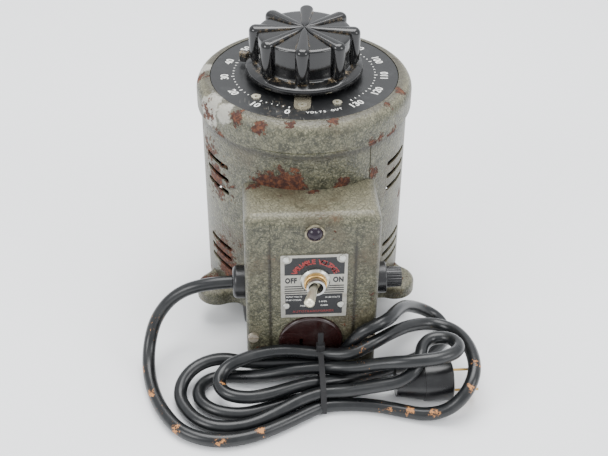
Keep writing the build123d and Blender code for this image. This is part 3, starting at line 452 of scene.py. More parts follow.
# %% Metals
def metal(name, base, tarnish, share, gloss, brush_mm=0.5):
    """Plated or turned metal. Tarnish begins where its noise passes share; gloss is the roughness of
    the clean metal."""
    f = Finish(name)
    brush = f.noise(brush_mm, 2, 0.5)
    patch = f.noise(4, 6, 0.7, 1.5).ramp(share, share + 0.18)
    colour = f.mix(patch, f.mix(brush * 0.35, base, tuple(c * 0.7 for c in base)), tarnish)
    return f.done(colour, gloss + brush * 0.12 + patch * 0.3, f.bump(brush, 0.02, 0.3), 1.0 - patch * 0.6)


METALS = {
    "nickel": ((0.8, 0.76, 0.6), (0.45, 0.37, 0.2), 0.6, 0.35),
    "nickel_ring": ((0.55, 0.55, 0.51), (0.24, 0.22, 0.17), 0.5, 0.3),
    "dark_nickel": ((0.3, 0.27, 0.19), (0.06, 0.05, 0.035), 0.45, 0.4),
    "brass": ((0.78, 0.5, 0.18), (0.36, 0.16, 0.05), 0.5, 0.3),
    "zinc": ((0.5, 0.5, 0.49), (0.2, 0.14, 0.09), 0.55, 0.38),
    "steel": ((0.5, 0.5, 0.5), (0.18, 0.15, 0.12), 0.65, 0.3),
    "rusty_screw": ((0.62, 0.56, 0.46), (0.2, 0.09, 0.035), 0.5, 0.4),
    "copper_wire": ((0.5, 0.17, 0.07), (0.2, 0.06, 0.03), 0.55, 0.25),
    "copper_track": ((0.8, 0.42, 0.25), (0.35, 0.15, 0.08), 0.55, 0.25),
    "cast_arm": ((0.6, 0.6, 0.6), (0.4, 0.4, 0.39), 0.6, 0.4, 1.2),
}
metals = {name: metal(name, *recipe) for name, recipe in METALS.items()}

# %% [markdown]
# ## Boards and nylon
# Fibre, core strip, carbon and the nylon tie are matt and even, with fine flecks. They are small or
# hidden, so one simple recipe is enough.

# %% Boards and nylon
def board(name, base, other):
    """Pressed fibre, carbon or laminated board: fine flecks."""
    f = Finish(name)
    fleck = f.noise(1.2, 5, 0.7)
    colour = f.mix(fleck.ramp(0.35, 0.7), base, other)
    return f.done(colour, 0.62 + fleck * 0.2, f.bump(fleck, 0.06, 0.4))


fibre = board("fibre_board", (0.1, 0.035, 0.015), (0.17, 0.07, 0.03))
core = board("core_strip", (0.1, 0.1, 0.11), (0.2, 0.2, 0.21))
carbon = board("carbon", (0.012, 0.012, 0.013), (0.03, 0.03, 0.03))
tie_nylon = board("tie_nylon", (0.006, 0.006, 0.007), (0.014, 0.014, 0.015))

# %% [markdown]
# ## Dial enamel
# The dial is satin black enamel, scratched and dusty at the front, where hands reach for the knob. The
# scratches are noise stretched along one slanting direction.

# %% Dial enamel
def dial_enamel():
    """Satin black with dust, slanting scratches and tan dirt near the front."""
    f = Finish("dial_enamel")
    dust = f.noise(9, 6, 0.7).ramp(0.5, 0.72)
    slant = {"Vector": f.place, "Scale": (1.0, 0.08, 1.0), "Rotation": (0, 0, 0.6)}
    lines = {"Vector": f.node("ShaderNodeMapping", {}, slant), "Scale": 900.0, "Detail": 2.0}
    scratch = f.node("ShaderNodeTexNoise", {}, lines).ramp(0.66, 0.7)
    near_front = f.near((-18, -48, 168.9), 34).ramp(0.0, 0.8)
    tan = (f.noise(3.0, 6, 0.75, 2.0) + near_front * 0.14).ramp(0.7, 0.78)
    colour = f.mix(dust * 0.35, (0.007, 0.0075, 0.008), (0.03, 0.033, 0.035))
    colour = f.mix(scratch * near_front * 0.7, colour, (0.25, 0.24, 0.21))
    colour = f.mix(tan * near_front * 0.45, colour, (0.16, 0.12, 0.075))
    normal = f.bump(f.noise(0.7, 3), 0.03, 0.3)
    return f.done(colour, 0.34 + dust * 0.2 + tan * 0.2, normal, Specular_IOR_Level=0.55)


dial_black = dial_enamel()

# %% [markdown]
# ## The printed plate
# The plate is bare aluminium with black ink in bands and lines. The ink could be thin pieces of their
# own, but a mask of rectangles on the plate's X and Z is flatter and can wear into pinholes.

# %% Printed plate
PLATE_LOW, PLATE_HIGH = [v * 1000 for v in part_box("nameplate")]
RING_LOW, RING_HIGH = [v * 1000 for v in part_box("switch_ring")]
SWITCH_X, SWITCH_Z = (RING_LOW.x + RING_HIGH.x) / 2, (RING_LOW.z + RING_HIGH.z) / 2
RIVET_R = 3.5
TOP_BLOCK, LOW_BLOCK = (80.6, 94.0), (48.8, 65.2)
LINES, LINE_TOP, LINE_STEP, LINE_HALF = 4, 71.6, 1.75, 0.45


def printed_plate():
    """Bands of black ink on brushed aluminium, clear of the rivets."""
    f = Finish("printed_plate")
    x, z = f.axis("X"), f.axis("Z")

    def block(x0, x1, z0, z1):
        """1 inside a rectangle, 0 outside: the product of its four edges."""
        return (x > x0) * (x < x1) * (z > z0) * (z < z1)

    left, right = PLATE_LOW.x + 2.4, PLATE_HIGH.x - 1.9
    ink = block(left, right, *TOP_BLOCK).most(block(left + 0.4, right - 0.8, *LOW_BLOCK))
    for line in range(LINES):
        middle = LINE_TOP - LINE_STEP * line
        ink = ink.most(block(left, right, middle - LINE_HALF, middle + LINE_HALF))
    for corner in ((PLATE_LOW.x + 3.6, 93.1), (PLATE_HIGH.x - 3.4, 93.1)):
        dx, dz = x - corner[0], z - corner[1]
        ink = ink * ((dx * dx + dz * dz) > RIVET_R**2)
    worn = f.noise(1.6, 6, 0.75).ramp(0.66, 0.7)
    ink = ink * (1 - worn)
    brush = f.noise(0.6, 3, 0.6, 1.0)
    darkening = f.noise(8, 5, 0.7, 2.0).ramp(0.5, 0.75)
    bare = f.mix(darkening * 0.6, f.mix(brush * 0.4, (0.4, 0.39, 0.35), (0.25, 0.24, 0.21)), (0.2, 0.17, 0.12))
    colour = f.mix(ink, bare, (0.012, 0.012, 0.014))
    return f.done(colour, 0.38 + brush * 0.1 + ink * 0.08, f.bump(brush, 0.02, 0.3), 0.75 - ink * 0.75)


plate_metal = printed_plate()

# %% [markdown]
# ## Inks
# The letters are thin pieces, so that they stay sharp from any distance. Their ink has worn gaps.

# %% Inks
def ink(name, base, gap):
    """Printing ink with small worn gaps that show what is under it."""
    f = Finish(name)
    worn = f.noise(1.1, 5, 0.7).ramp(gap, gap + 0.06)
    dull = tuple(c * 0.45 for c in base)
    return f.done(f.mix(worn, base, dull), 0.5 + worn * 0.2, f.bump(worn, 0.01, 0.3))


white_ink = ink("ink_white", (0.78, 0.78, 0.74), 0.6)
black_ink = ink("ink_black", (0.015, 0.015, 0.017), 0.62)
red_ink = ink("ink_red", (0.3, 0.03, 0.03), 0.52)

# %% [markdown]
# ## Lens and clear parts
# The lamp's lens is dark glass. The clear tab over the dial and the fuse's tube are thin, so a lowered
# Alpha shows what is behind them without the cost of real refraction.

# %% Lens and clear parts
def lens_glass():
    """Near-black purple glass with a faint swirl."""
    f = Finish("lamp_lens")
    swirl = f.noise(3, 3)
    colour = f.mix(swirl, (0.006, 0.003, 0.008), (0.018, 0.007, 0.02))
    return f.done(colour, 0.16 + swirl * 0.08, f.bump(swirl, 0.02, 0.2), Specular_IOR_Level=0.4)


def clear_sheet(name, tint, alpha):
    """A thin clear sheet: tinted, hazy and partly see-through."""
    f = Finish(name)
    haze = f.noise(5, 4, 0.6)
    colour = f.mix(haze, tint, tuple(c * 0.8 for c in tint))
    made = f.done(colour, 0.15 + haze * 0.15, f.bump(haze, 0.02, 0.2))
    f.shader.inputs["Alpha"].default_value = alpha
    return made


lens = lens_glass()
tab_clear = clear_sheet("clear_tab", (0.5, 0.45, 0.33), 0.35)
fuse_glass = clear_sheet("fuse_glass", (0.7, 0.75, 0.74), 0.5)

# %% [markdown]
# ## Painting the CAD parts
# A CAD part whose shape is right keeps its mesh and gets its finish through its material slot.

# %% Finishes on CAD parts
PARTS_BY_FINISH = [
    (black_rubber, "rubber_feet cord_bushing plug_body"),
    (metals["zinc"], "foot_screws foot_nuts bushing_nut clamp_bolts bushing_locknut"),
    (dial_black, "dial_plate"),
    (metals["nickel"], "dial_eyelets switch_lever"),
    (tab_clear, "index_tab"),
    (
        metals["brass"],
        "shaft_bushing lower_bearing collector_ring brush_holder collector_contact switch_nut "
        "outlet_contacts terminal_screws plug_blades",
    ),
    (metals["steel"], "rotor_shaft brush_spring stop_post knob_set_screw switch_body switch_pivot_pin"),
    (fibre, "lower_insulator clamp_plate terminal_board"),
    (core, "toroid_core"),
    (metals["copper_wire"], "toroid_winding"),
    (metals["copper_track"], "contact_track"),
    (metals["cast_arm"], "brush_arm"),
    (carbon, "carbon_brush"),
    (black_knob, "knob knob_pointer"),
    (metals["rusty_screw"], "box_screws"),
    (plate_metal, "nameplate"),
    (metals["nickel_ring"], "nameplate_rivets switch_ring"),
    (metals["dark_nickel"], "lamp_bezel"),
    (lens, "lamp_lens"),
    (black_small, "lamp_holder fuse_holder fuse_nut fuse_cap"),
    (brown_outlet, "outlet_body"),
    (fuse_glass, "fuse"),
    (cord_rubber, "cord_lead cord_hank"),
    (tie_nylon, "cable_tie"),
]
finishes = {node: finish for finish, nodes in PARTS_BY_FINISH for node in nodes.split()}
finishes |= paints
for node, finish in finishes.items():
    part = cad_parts[node]
    for material_slot in part.material_slots:
        material_slot.material = finish
print("painted", len(finishes), "of", len(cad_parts))

# %% [markdown]
# ## Surfaces from numbers
# Every new piece is a grid of points worked out by a formula. One helper turns the grid into a mesh,
# welds its seam and poles, and lets it ride on its CAD body.

# %% Mesh helper
SHARP = math.radians(38)


def piece(name, points, faces, finish, body, slot, stands_for=(), sharp=SHARP):
    """Makes a piece from points in millimetres and faces, welded, facing out, riding on body."""
    mesh = bpy.data.meshes.new(name)
    mesh.from_pydata((np.asarray(points, float) * MM).tolist(), [], [list(face) for face in faces])
    work = bmesh.new()
    work.from_mesh(mesh)
    bmesh.ops.remove_doubles(work, verts=work.verts, dist=2e-7)
    bmesh.ops.dissolve_degenerate(work, edges=work.edges, dist=1e-7)
    bmesh.ops.recalc_face_normals(work, faces=work.faces)
    work.to_mesh(mesh)
    work.free()
    mesh.shade_smooth()
    mesh.set_sharp_from_angle(angle=sharp)
    mesh.materials.append(finish)
    made = bpy.data.objects.new(name, mesh)
    bpy.context.scene.collection.objects.link(made)
    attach(made, body)
    if stands_for:
        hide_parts(*stands_for)
    print("piece", name, "faces", len(mesh.polygons))
    return made


def grid_faces(rows, columns, wrap_rows=False, wrap_columns=False):
    """Four-cornered faces over a grid of points stored row by row."""
    i = np.arange(rows if wrap_rows else rows - 1)
    j = np.arange(columns if wrap_columns else columns - 1)
    i, j = [v.ravel() for v in np.meshgrid(i, j, indexing="ij")]
    up, along = (i + 1) % rows, (j + 1) % columns
    return np.stack([i * columns + j, i * columns + along, up * columns + along, up * columns + j], axis=1)


def joined(*shapes):
    """Several (points, faces) as one, each shape's face numbers moved past the points before it."""
    starts = np.cumsum([0] + [len(points) for points, _ in shapes])
    faces = [[index + start for index in face] for (_, part), start in zip(shapes, starts) for face in part]
    return np.concatenate([np.asarray(points, float) for points, _ in shapes]), faces


print("mesh helpers", [helper.__name__ for helper in (piece, grid_faces, joined)])

# %% [markdown]
# ## The cord
# A rubber mains cord leaves the bushing, droops to the bench, and is folded back and forth in front of
# the box, held by one tie. It is one spline: the lead, then the passes through the tie joined by lobes.
# Each lobe is a short list of points, as no two of the real ones are alike.

# %% Cord route
CORD_D = 8.4
LEAD = [
    (-50.0, -74.0, 58.0), (-69.0, -73.5, 57.0), (-88.0, -72.5, 48.0), (-101.0, -75.0, 32.0),
    (-106.5, -83.0, 16.0), (-107.0, -98.0, 6.2), (-103.0, -117.0, 4.3), (-95.0, -137.0, 4.3),
    (-82.5, -154.0, 4.3), (-62.5, -162.0, 4.3), (-41.0, -159.0, 4.3), (-21.0, -149.5, 4.3),
    (-6.0, -140.5, 4.3),
]
TIE_X = 5.0
PASSES = [
    (-134.8, 4.4), (-104.4, 20.6), (-121.6, 12.0), (-103.9, 11.9), (-130.6, 12.0), (-112.8, 16.2),
    (-126.2, 4.4),
]
LOBES = [
    [
        (22, -134.5, 4.3), (38, -136.5, 4.3), (53, -141.5, 4.3), (68, -146.5, 4.3), (82, -148, 9),
        (93, -144.5, 19), (100, -133.5, 25.5), (102, -119, 26), (100.5, -101.5, 24.5),
        (94.5, -86.5, 22), (82, -79.5, 21.5), (66, -86, 26), (52, -98, 31), (38, -107.6, 30.5),
        (24, -112.5, 26),
    ],
    [
        (-18, -104.8, 25.5), (-34, -104.8, 22.8), (-44, -105.8, 20), (-54.3, -107.8, 16.5),
        (-59.7, -113.8, 14), (-60.8, -121.8, 12.9), (-57, -129, 12.9), (-49.8, -132.8, 12.9),
        (-41, -134, 12.9), (-31, -132.2, 12.9), (-20, -128.6, 12.9), (-6, -123.2, 12.4),
    ],
    [
        (22, -115.8, 8.2), (38, -108.5, 5), (56, -101, 4.3), (72, -94, 4.3), (84, -86.5, 4.3),
        (91.5, -77.5, 4.3), (94, -67.5, 4.8), (90.5, -59.5, 8), (82.5, -57, 13), (73, -60.5, 20),
        (64, -70, 29.5), (56.5, -83, 36.5), (50, -95.5, 40.5), (41, -102.6, 41.6), (30.5, -103, 36.5),
        (22, -101.4, 20), (15, -101.4, 13),
    ],
    [
        (-16, -102.8, 12.2), (-32, -102.4, 12.6), (-45, -101, 12.8), (-57, -97.5, 13.2),
        (-68, -99.5, 13.4), (-78, -105.5, 12.2), (-84.5, -113.5, 8.5), (-86, -122.5, 4.9),
        (-82, -133, 4.3), (-74.5, -143.5, 4.3), (-64, -149.5, 4.3), (-52, -150.5, 4.3),
        (-37, -147, 4.3), (-21, -140.4, 7.8), (-8, -134.6, 11.2),
    ],
    [
        (18, -131.5, 13), (30, -133.2, 16.5), (42, -134.8, 20), (54, -135.6, 23.5), (62, -132, 28.5),
        (67, -122, 31.4), (69.8, -111.5, 31), (75.9, -105.2, 31), (84.1, -105.2, 31.8),
        (90.4, -110.5, 33.5), (91.8, -119, 35.5), (87.5, -127, 37.7), (77, -132.5, 38.8),
        (64, -133, 38), (52, -130.5, 35), (40, -125.5, 29.5), (27, -120.8, 22.3), (15, -114.7, 17.3),
    ],
    [
        (-13, -112.2, 14.5), (-28, -111.2, 9.8), (-42, -108, 6), (-55, -105.5, 4.8),
        (-67, -106.5, 4.3), (-74.5, -115.5, 4.3), (-73, -127, 4.3), (-64.5, -135.5, 4.3),
        (-54, -139, 4.3), (-43, -139.3, 4.3), (-29, -134.8, 4.3), (-12, -129.2, 4.3),
    ],
    [
        (18, -124.9, 4.5), (30, -124.4, 7.5), (41, -124.8, 11.5), (51.5, -125.2, 13), (57, -125.2, 13),
    ],
]
route = list(LEAD)
for (y, z), lobe in zip(PASSES, LOBES):
    route += [(TIE_X, y, z), *lobe]

print("route points", len(route))

# %% [markdown]
# ## The cord's spline
# A NURBS spline of order 3 passes smoothly near its points without the ringing of an interpolated one,
# and it starts and ends exactly on its first and last points. A bare mesh copy of it is made before it
# is given a thickness.

# %% Cord spline
curve = bpy.data.curves.new("mains_cord", "CURVE")
curve.dimensions = "3D"
spline = curve.splines.new("NURBS")
spline.points.add(len(route) - 1)
spline.points.foreach_set("co", np.c_[np.array(route) * MM, np.ones(len(route))].ravel())
spline.order_u = 3
spline.use_endpoint_u = True
spline.resolution_u = 10
bare_line = bpy.data.objects.new("bare_line", curve)
line = bpy.data.meshes.new_from_object(bare_line)
bpy.data.objects.remove(bare_line)

# %% [markdown]
# ## The cord's rubber
# A round section is carried along the spline. The finished cord stands for the CAD's plain tube and hank.

# %% Cord piece
curve.bevel_depth = CORD_D / 2 * MM
curve.bevel_resolution = 5
curve.use_fill_caps = True
curve.materials.append(cord_rubber)
cord = bpy.data.objects.new("mains_cord", curve)
bpy.context.scene.collection.objects.link(cord)
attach(cord, "housing")
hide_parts("cord_lead", "cord_hank")
print("cord", cord.name, "diameter mm", CORD_D)

# %% [markdown]
# ## The tie
# A flat nylon strap is pulled tight round the passes, so its loop is the outline of a bundle of discs:
# in every direction it lies on the outermost disc. Its square head and tail stand up at the back.

# %% Strap
STRAP_W, STRAP_T = 3.6, 1.2
STRAP_GAP, FLOOR_GAP = 0.05, 0.05


def strap_loop(reach):
    """Outline round the passes: for each direction, the outermost centre moved out by reach, and no
    lower than the floor."""
    turn = np.linspace(0, 2 * np.pi, 120, endpoint=False)
    way = np.c_[np.cos(turn), np.sin(turn)]
    centres = np.array(PASSES)
    loop = centres[np.argmax(way @ centres.T, axis=1)] + way * reach
    loop[:, 1] = np.maximum(loop[:, 1], FLOOR_GAP)
    return loop


inner, outer = [strap_loop(CORD_D / 2 + STRAP_GAP + thick) for thick in (0, STRAP_T)]
inner[:, 1] = np.maximum(inner[:, 1], 2 * FLOOR_GAP)
rings = [(inner, -0.5), (outer, -0.5), (outer, 0.5), (inner, 0.5)]
strap = np.concatenate([np.c_[np.full(len(r), TIE_X + side * STRAP_W), r] for r, side in rings])
strap_faces = grid_faces(4, len(inner), wrap_rows=True, wrap_columns=True).tolist()
print("strap points", len(strap))

# %% [markdown]
# ## The tie's head and tail
# Both are rounded blocks. A ball's grid whose eight parts are pushed out to the block's corners has
# rounded edges at once, with no bevel to set.

# %% Head and tail
BALL_STEPS = 5


def rounded_block(low, high, rounding):
    """A ball of radius rounding, each point moved by the sign of its own direction times the block's
    half size less the rounding. Its two poles are closed by the weld."""
    low, high = np.array(low, float), np.array(high, float)
    half = (high - low) / 2 - rounding
    lat, lon = np.meshgrid(
        np.linspace(-np.pi / 2, np.pi / 2, 4 * BALL_STEPS),
        (np.arange(8 * BALL_STEPS) + 0.5) * np.pi / (4 * BALL_STEPS),
        indexing="ij",
    )
    ball = np.stack([np.cos(lat) * np.cos(lon), np.cos(lat) * np.sin(lon), np.sin(lat)], axis=-1)
    points = ball * rounding + np.sign(ball) * half + (low + high) / 2
    rows, columns = lat.shape
    faces = grid_faces(rows, columns, wrap_columns=True).tolist()
    faces += [list(range(columns)), list(range((rows - 1) * columns, rows * columns))]
    return points.reshape(-1, 3), faces


head_y, head_z = PASSES[1][0] - 1.0, PASSES[1][1] + CORD_D / 2
head_low, head_high = (TIE_X - 2.7, head_y - 2.6, head_z + 0.2), (TIE_X + 2.7, head_y + 2.4, head_z + 5.0)
tail_low, tail_high = (TIE_X - 1.8, head_y - 0.9, head_z + 4.6), (TIE_X + 1.8, head_y + 0.3, head_z + 14.5)
head, tail = rounded_block(head_low, head_high, 0.5), rounded_block(tail_low, tail_high, 0.3)
tie_points, tie_faces = joined((strap, strap_faces), head, tail)
tie = piece("tie_strap", tie_points, tie_faces, tie_nylon, "housing", "tie_nylon", ["cable_tie"])

# %% [markdown]

# %% [markdown]
# ## The knob
# The knob is one moulding: a shallow dome and a drum, with eight finger ribs that run from the centre,
# over the edge and down to the skirt. The surface has two profiles, the body's and the rib's, with the
# same number of steps, and it blends from one to the other across each rib on a quarter-circle curve.

# %% Knob profiles
SKIRT_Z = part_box("knob")[0].z * 1000
RIBS = 8
RIB_TURN = math.radians(-96.0)
ARC_POINTS = 5


def path_through(points, counts):
    """Points along straight runs, with so many steps on each run."""
    runs = zip(points, points[1:], counts)
    return np.concatenate([*[np.linspace(a, b, n, endpoint=False) for a, b, n in runs], [points[-1]]])


def arc(centre, radius, start, end):
    """Points on an arc: the centre plus radius times (cos, sin) of angles from start to end."""
    turn = np.radians(np.linspace(start, end, ARC_POINTS))
    return np.c_[centre[0] + radius * np.cos(turn), centre[1] + radius * np.sin(turn)]


def knob_profiles():
    """Radius and height down the body and down a rib, step for step."""
    z = SKIRT_Z
    top_edge, foot = arc((28.8, z + 25.2), 1.3, 80, 0), arc((31.6, z + 7.4), 1.5, 180, 256)
    last = [(36.6, z + 4.4)]
    body = np.concatenate([[(0.02, z + 28.7), (28.8, z + 26.6)], top_edge, [(30.1, z + 7.4)], foot, last])
    tip, heel = arc((31.6, z + 25.6), 3.6, 84, 0), arc((31.9, z + 8.8), 3.3, 0, -62)
    rib = np.concatenate([[(0.02, z + 29.5), (31.0, z + 29.2)], tip, [(35.2, z + 8.8)], heel, last])
    counts = [14] + [1] * 5 + [8] + [1] * 5 + [6]
    return path_through(body, counts), path_through(rib, counts)


body_profile, rib_profile = knob_profiles()
print("profile steps", len(body_profile), len(rib_profile))

# %% [markdown]
# ## The knob's surface
# Boolean ribs on a cylinder would leave hard corners that each need a bevel. Instead the columns of one
# polar grid are bent to follow the edges of every rib, so the blend is smooth and the grid stays closed.

# %% Knob surface
RIM = [(37.3, 4.0), (37.65, 3.2), (37.65, 0.8), (37.2, 0.15), (34.0, 0.1), (8, 0.1), (0.02, 0.1)]
RIB_HALF_IN, RIB_HALF_OUT, RIB_OUT_R = 1.7, 4.5, 31.0


def knob_columns(radius):
    """Turn and rise of one sector's columns at each radius. Inside the rib, the turn goes to the rib's
    edge on a sine, and the rise is (1 - share squared) to the power 0.425; outside it, the rise is 0."""
    half_sector = np.pi / RIBS
    half_width = RIB_HALF_IN + (RIB_HALF_OUT - RIB_HALF_IN) * np.clip(radius / RIB_OUT_R, 0, 1)
    edge = np.arcsin(np.clip(half_width / np.maximum(radius, 0.1), 0, 1))
    edge = np.minimum(edge, 0.86 * half_sector)[:, None]
    beyond = np.linspace(0, 1, 10)[1:]
    share = np.sin(np.linspace(0, 1, 15) * np.pi / 2)
    turn = np.concatenate([edge * share, edge + (half_sector - edge) * beyond], axis=1)
    rise = (1 - np.concatenate([share, np.ones(len(beyond))]) ** 2).clip(0, 1) ** 0.425
    rise = rise[None, :] * np.clip(radius / 3.0, 0.35, 1)[:, None]
    both = ((turn, -1), (rise, 1))
    return [np.concatenate([sign * v[:, :0:-1], v[:, :-1]], axis=1) for v, sign in both]


def knob_surface():
    """Radius and height go from the body's profile to the rib's by the rise, and the sector is repeated
    for every rib. The rim and the underside carry on as plain rings down to the closed middle."""
    turn, rise = knob_columns(body_profile[:, 0])
    pairs = zip(body_profile.T[:, :, None], rib_profile.T[:, :, None])
    radius, height = [np.tile(body * (1 - rise) + rib * rise, (1, RIBS)) for body, rib in pairs]
    sectors = np.repeat(np.arange(RIBS) * math.tau / RIBS, turn.shape[1])
    turn = np.tile(turn, (1, RIBS)) + sectors + RIB_TURN
    rim = np.array(RIM)
    ring = np.ones((1, turn.shape[1]))
    turn = np.concatenate([turn, np.tile(turn[-1], (len(rim), 1))])
    radius = np.concatenate([radius, rim[:, :1] * ring])
    height = np.concatenate([height, (rim[:, 1:] + SKIRT_Z) * ring])
    points = np.stack([radius * np.cos(turn), radius * np.sin(turn), height], axis=-1)
    rows, columns = turn.shape
    faces = grid_faces(rows, columns, wrap_columns=True).tolist()
    faces += [list(range(columns)), list(range((rows - 1) * columns, rows * columns))]
    return points.reshape(-1, 3), faces


knob_points, knob_faces = knob_surface()
print("knob points", len(knob_points))

# %% [markdown]
# ## The knob's finish
# Gloss black, with tan dust where a cloth doesn't reach: in the creases beside the ribs and round the
# foot. The same rib formula that shapes the surface tells the material where those creases are.

# %% Knob finish
CREASE_SPREAD = 0.09


def knob_bakelite():
    """Gloss black, with tan dust in the creases beside the ribs and round the foot."""
    f = Finish("bakelite_ribbed")
    x, y, z = [f.axis(letter) for letter in "XYZ"]
    turn = f.node("ShaderNodeMath", {"operation": "ARCTAN2"}, {0: y, 1: x}) - RIB_TURN
    radius = f.node("ShaderNodeMath", {"operation": "SQRT"}, {0: x * x + y * y})
    step = math.tau / RIBS
    off = f.node("ShaderNodeMath", {"operation": "PINGPONG"}, {0: turn, 1: step / 2})
    side = abs(off * radius - (RIB_HALF_IN + radius * CREASE_SPREAD))
    crease = (1 - side.ramp(0.1, 0.9)) * radius.ramp(6, 14) * (1 - radius.ramp(29, 30))
    foot = (1 - abs(z - (SKIRT_Z + 6.0)).ramp(0.1, 1.1)) * radius.ramp(29, 30.5)
    foot = foot * (1 - radius.ramp(33.5, 35.5))
    patch = f.noise(5, 6, 0.75)
    fine = f.noise(0.8, 3, 0.6, 2.0)
    dust = (crease * 0.55).most(foot) * (patch * 0.8 + fine * 0.2).ramp(0.48, 0.66)
    haze = f.noise(16, 4, 0.6, 4.0).ramp(0.4, 0.75)
    up = f.facing_up()
    film = up.ramp(0.6, 1.0) * (0.35 + haze * 0.5)
    colour = f.mix(film * 0.2, (0.0035, 0.0035, 0.004), (0.04, 0.04, 0.039))
    colour = f.mix(dust * 0.8, colour, (0.3, 0.22, 0.12))
    rough = 0.08 + film * 0.22 + dust * 0.45
    return f.done(colour, rough, f.bump(fine, 0.03, 0.2), Specular_IOR_Level=0.6)


ribbed = knob_bakelite()
crisp = math.radians(32)
piece("knob_moulding", knob_points, knob_faces, ribbed, "rotor", "black_bakelite", ["knob"], crisp)

# %% [markdown]
# ## Letters
# Letters start as Blender text, because drawing glyphs by hand would be slow, and become a thin mesh
# at once, before they are carried to their place.

# %% Letters
INK_T, INK_GAP = 0.05, 0.02


def letters(text, height, spacing=1.0, bold=0.0, narrow=1.0):
    """The text as flat points (mm, centred) and faces, a thin slab with both sides."""
    font = bpy.data.curves.new("letters", "FONT")
    font.body = text
    font.size = height / 0.7
    font.offset = bold
    font.space_character = spacing
    font.align_x, font.align_y = "CENTER", "CENTER"
    font.extrude = INK_T / 2
    font.resolution_u = 4
    holder = bpy.data.objects.new("letters", font)
    mesh = bpy.data.meshes.new_from_object(holder)
    points = np.array([v.co for v in mesh.vertices]).reshape(-1, 3)
    faces = [list(p.vertices) for p in mesh.polygons]
    bpy.data.objects.remove(holder)
    bpy.data.meshes.remove(mesh)
    middle = (points.min(0) + points.max(0)) / 2
    return (points - middle) * np.array([narrow, 1, 1]), faces


def slab(width, height):
    """A thin rectangle of ink."""
    x, y, z = width / 2, height / 2, INK_T / 2
    corners = np.array([(-x, -y), (x, -y), (x, y), (-x, y)])
    points = np.concatenate([np.c_[corners, np.full(4, level)] for level in (-z, z)])
    return points, [[3, 2, 1, 0], [4, 5, 6, 7], [0, 1, 5, 4], [1, 2, 6, 5], [2, 3, 7, 6], [3, 0, 4, 7]]


print("ink thickness mm", INK_T)

# %% [markdown]
# ## Printing on the dial
# White numbers from 0 to 130 by tens stand outside a ring of ticks, one tick for every two volts. The
# volts run clockwise from just left of the front.

# %% Dial print
DIAL_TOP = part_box("dial_plate")[1].z * 1000
DIAL_ZERO, DEG_PER_VOLT = 15.0, 2.38
NUMBER_R, TICK_R = 51.3, 45.6
FAR_FROM, FAR_TO = 70, 265


def on_dial(shape, clockwise, radius):
    """Carries a flat shape to the dial. Its top points to the centre on the near half of the dial and
    away from it on the far half, so that every number reads the right way up from the front."""
    points, faces = shape
    if FAR_FROM < clockwise < FAR_TO:
        points = points * np.array([-1, -1, 1])
    turn = math.radians(-clockwise)
    flat = points + np.array([0, -radius, 0])
    x = flat[:, 0] * math.cos(turn) - flat[:, 1] * math.sin(turn)
    y = flat[:, 0] * math.sin(turn) + flat[:, 1] * math.cos(turn)
    return np.c_[x, y, flat[:, 2] + DIAL_TOP + INK_T / 2 + INK_GAP], faces


def dial_angle(volts):
    """Degrees clockwise from the front: the zero's place plus so many degrees for each volt."""
    return DIAL_ZERO + DEG_PER_VOLT * volts


print_shapes = []
for volts in range(0, 131, 10):
    print_shapes.append(on_dial(letters(str(volts), 4.8, 1.0, 0.14), dial_angle(volts), NUMBER_R))
for volts in range(0, 131, 2):
    tall = 1.0 if volts % 10 == 0 else 0.0
    tick = slab(0.65, 1.0 + tall)
    print_shapes.append(on_dial(tick, dial_angle(volts), TICK_R + 0.4 * tall))
GAP_TEXT = "VOLTS OUT"
GAP_MIDDLE, GAP_STEP = -10.5, 2.9
for place, letter in enumerate(GAP_TEXT):
    if letter != " ":
        clockwise = GAP_MIDDLE - (place - (len(GAP_TEXT) - 1) / 2) * GAP_STEP
        print_shapes.append(on_dial(letters(letter, 2.1, 1.0, 0.05), clockwise, NUMBER_R))
dial_points, dial_faces = joined(*print_shapes)
piece("dial_numbers", dial_points, dial_faces, white_ink, "housing", "dial_enamel")

# %% [markdown]
# ## Printing on the plate
# OFF and ON stand in the bright band, generic words arch over the switch in dark red, and a few small
# lines fill the lower black block.

# %% Plate print
PLATE_FRONT = PLATE_LOW.y
WORD_Z = SWITCH_Z + 0.4
ARCH, ARCH_R, ARCH_STEP = "VARIABLE VOLTAGE", 14.2, 8.6
ARCH_Z = SWITCH_Z + 0.6


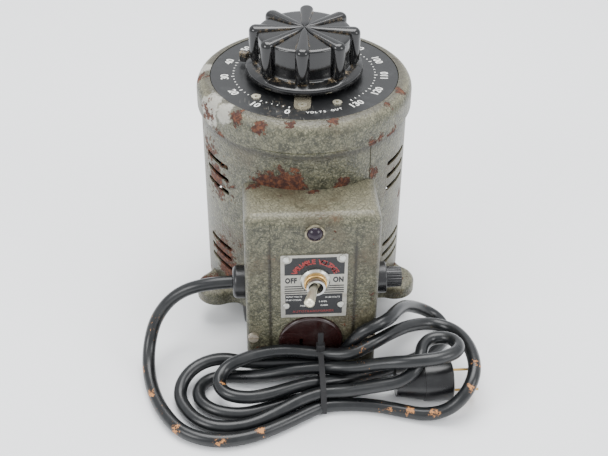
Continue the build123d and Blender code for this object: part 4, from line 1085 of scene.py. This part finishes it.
def on_plate(shape, x, z, turn=0.0):
    """Carries a flat shape to the plate, facing out of the front."""
    points, faces = shape
    c, s = math.cos(turn), math.sin(turn)
    across = points[:, 0] * c - points[:, 1] * s + x
    up = points[:, 0] * s + points[:, 1] * c + z
    return np.c_[across, PLATE_FRONT - INK_T / 2 - INK_GAP - points[:, 2], up], faces


off_word, on_word = letters("OFF", 3.8, 1.1, 0.3, 0.72), letters("ON", 3.8, 1.1, 0.3, 0.74)
black_words = [on_plate(off_word, -13.6, WORD_Z), on_plate(on_word, 15.9, WORD_Z)]
points, faces = joined(*black_words)
piece("plate_off_on", points, faces, black_ink, "housing", "plate_aluminium")

red_words = []
for place, letter in enumerate(ARCH):
    if letter != " ":
        turn = math.radians(-(place - (len(ARCH) - 1) / 2) * ARCH_STEP)
        x, z = SWITCH_X - ARCH_R * math.sin(turn), ARCH_Z + ARCH_R * math.cos(turn)
        red_words.append(on_plate(letters(letter, 3.5, 1.0, 0.16), x, z, turn))
red_words.append(on_plate(letters("AUTOTRANSFORMER", 1.7, 1.15), PLATE_LOW.x + 20.5, 51.3))
points, faces = joined(*red_words)
piece("plate_red_words", points, faces, red_ink, "housing", "plate_aluminium")

small_words = [
    ("INPUT VOLTS", -11.6, 63.4), ("50-60 CYCLES", -12.0, 60.8), ("0-130 VOLTS", 12.6, 62.4),
    ("3 AMPS", 6.5, 59.0), ("MAX. LOAD", -3.4, 55.9), ("FUSED", 7.5, 55.9),
]
points, faces = joined(*[on_plate(letters(text, 1.15), x, z) for text, x, z in small_words])
piece("plate_small_words", points, faces, white_ink, "housing", "plate_aluminium")

# %% [markdown]
# ## The bench
# A wide pale floor that isn't part of the object.

# %% Floor
FLOOR_HALF, FLOOR_DROP = 3.0, 0.0002
floor_mesh = bpy.data.meshes.new("floor")
corners = [(x * FLOOR_HALF, y * FLOOR_HALF, 0) for x, y in ((-1, -1), (1, -1), (1, 1), (-1, 1))]
floor_mesh.from_pydata(corners, [], [(0, 1, 2, 3)])
floor = bpy.data.objects.new("floor", floor_mesh)
floor.location.z = -FLOOR_DROP
floor_finish = Finish("floor_paper")
floor_finish.done((0.93, 0.94, 0.95), 0.8)
floor_mesh.materials.append(floor_finish.material)
bpy.context.scene.collection.objects.link(floor)

# %% [markdown]
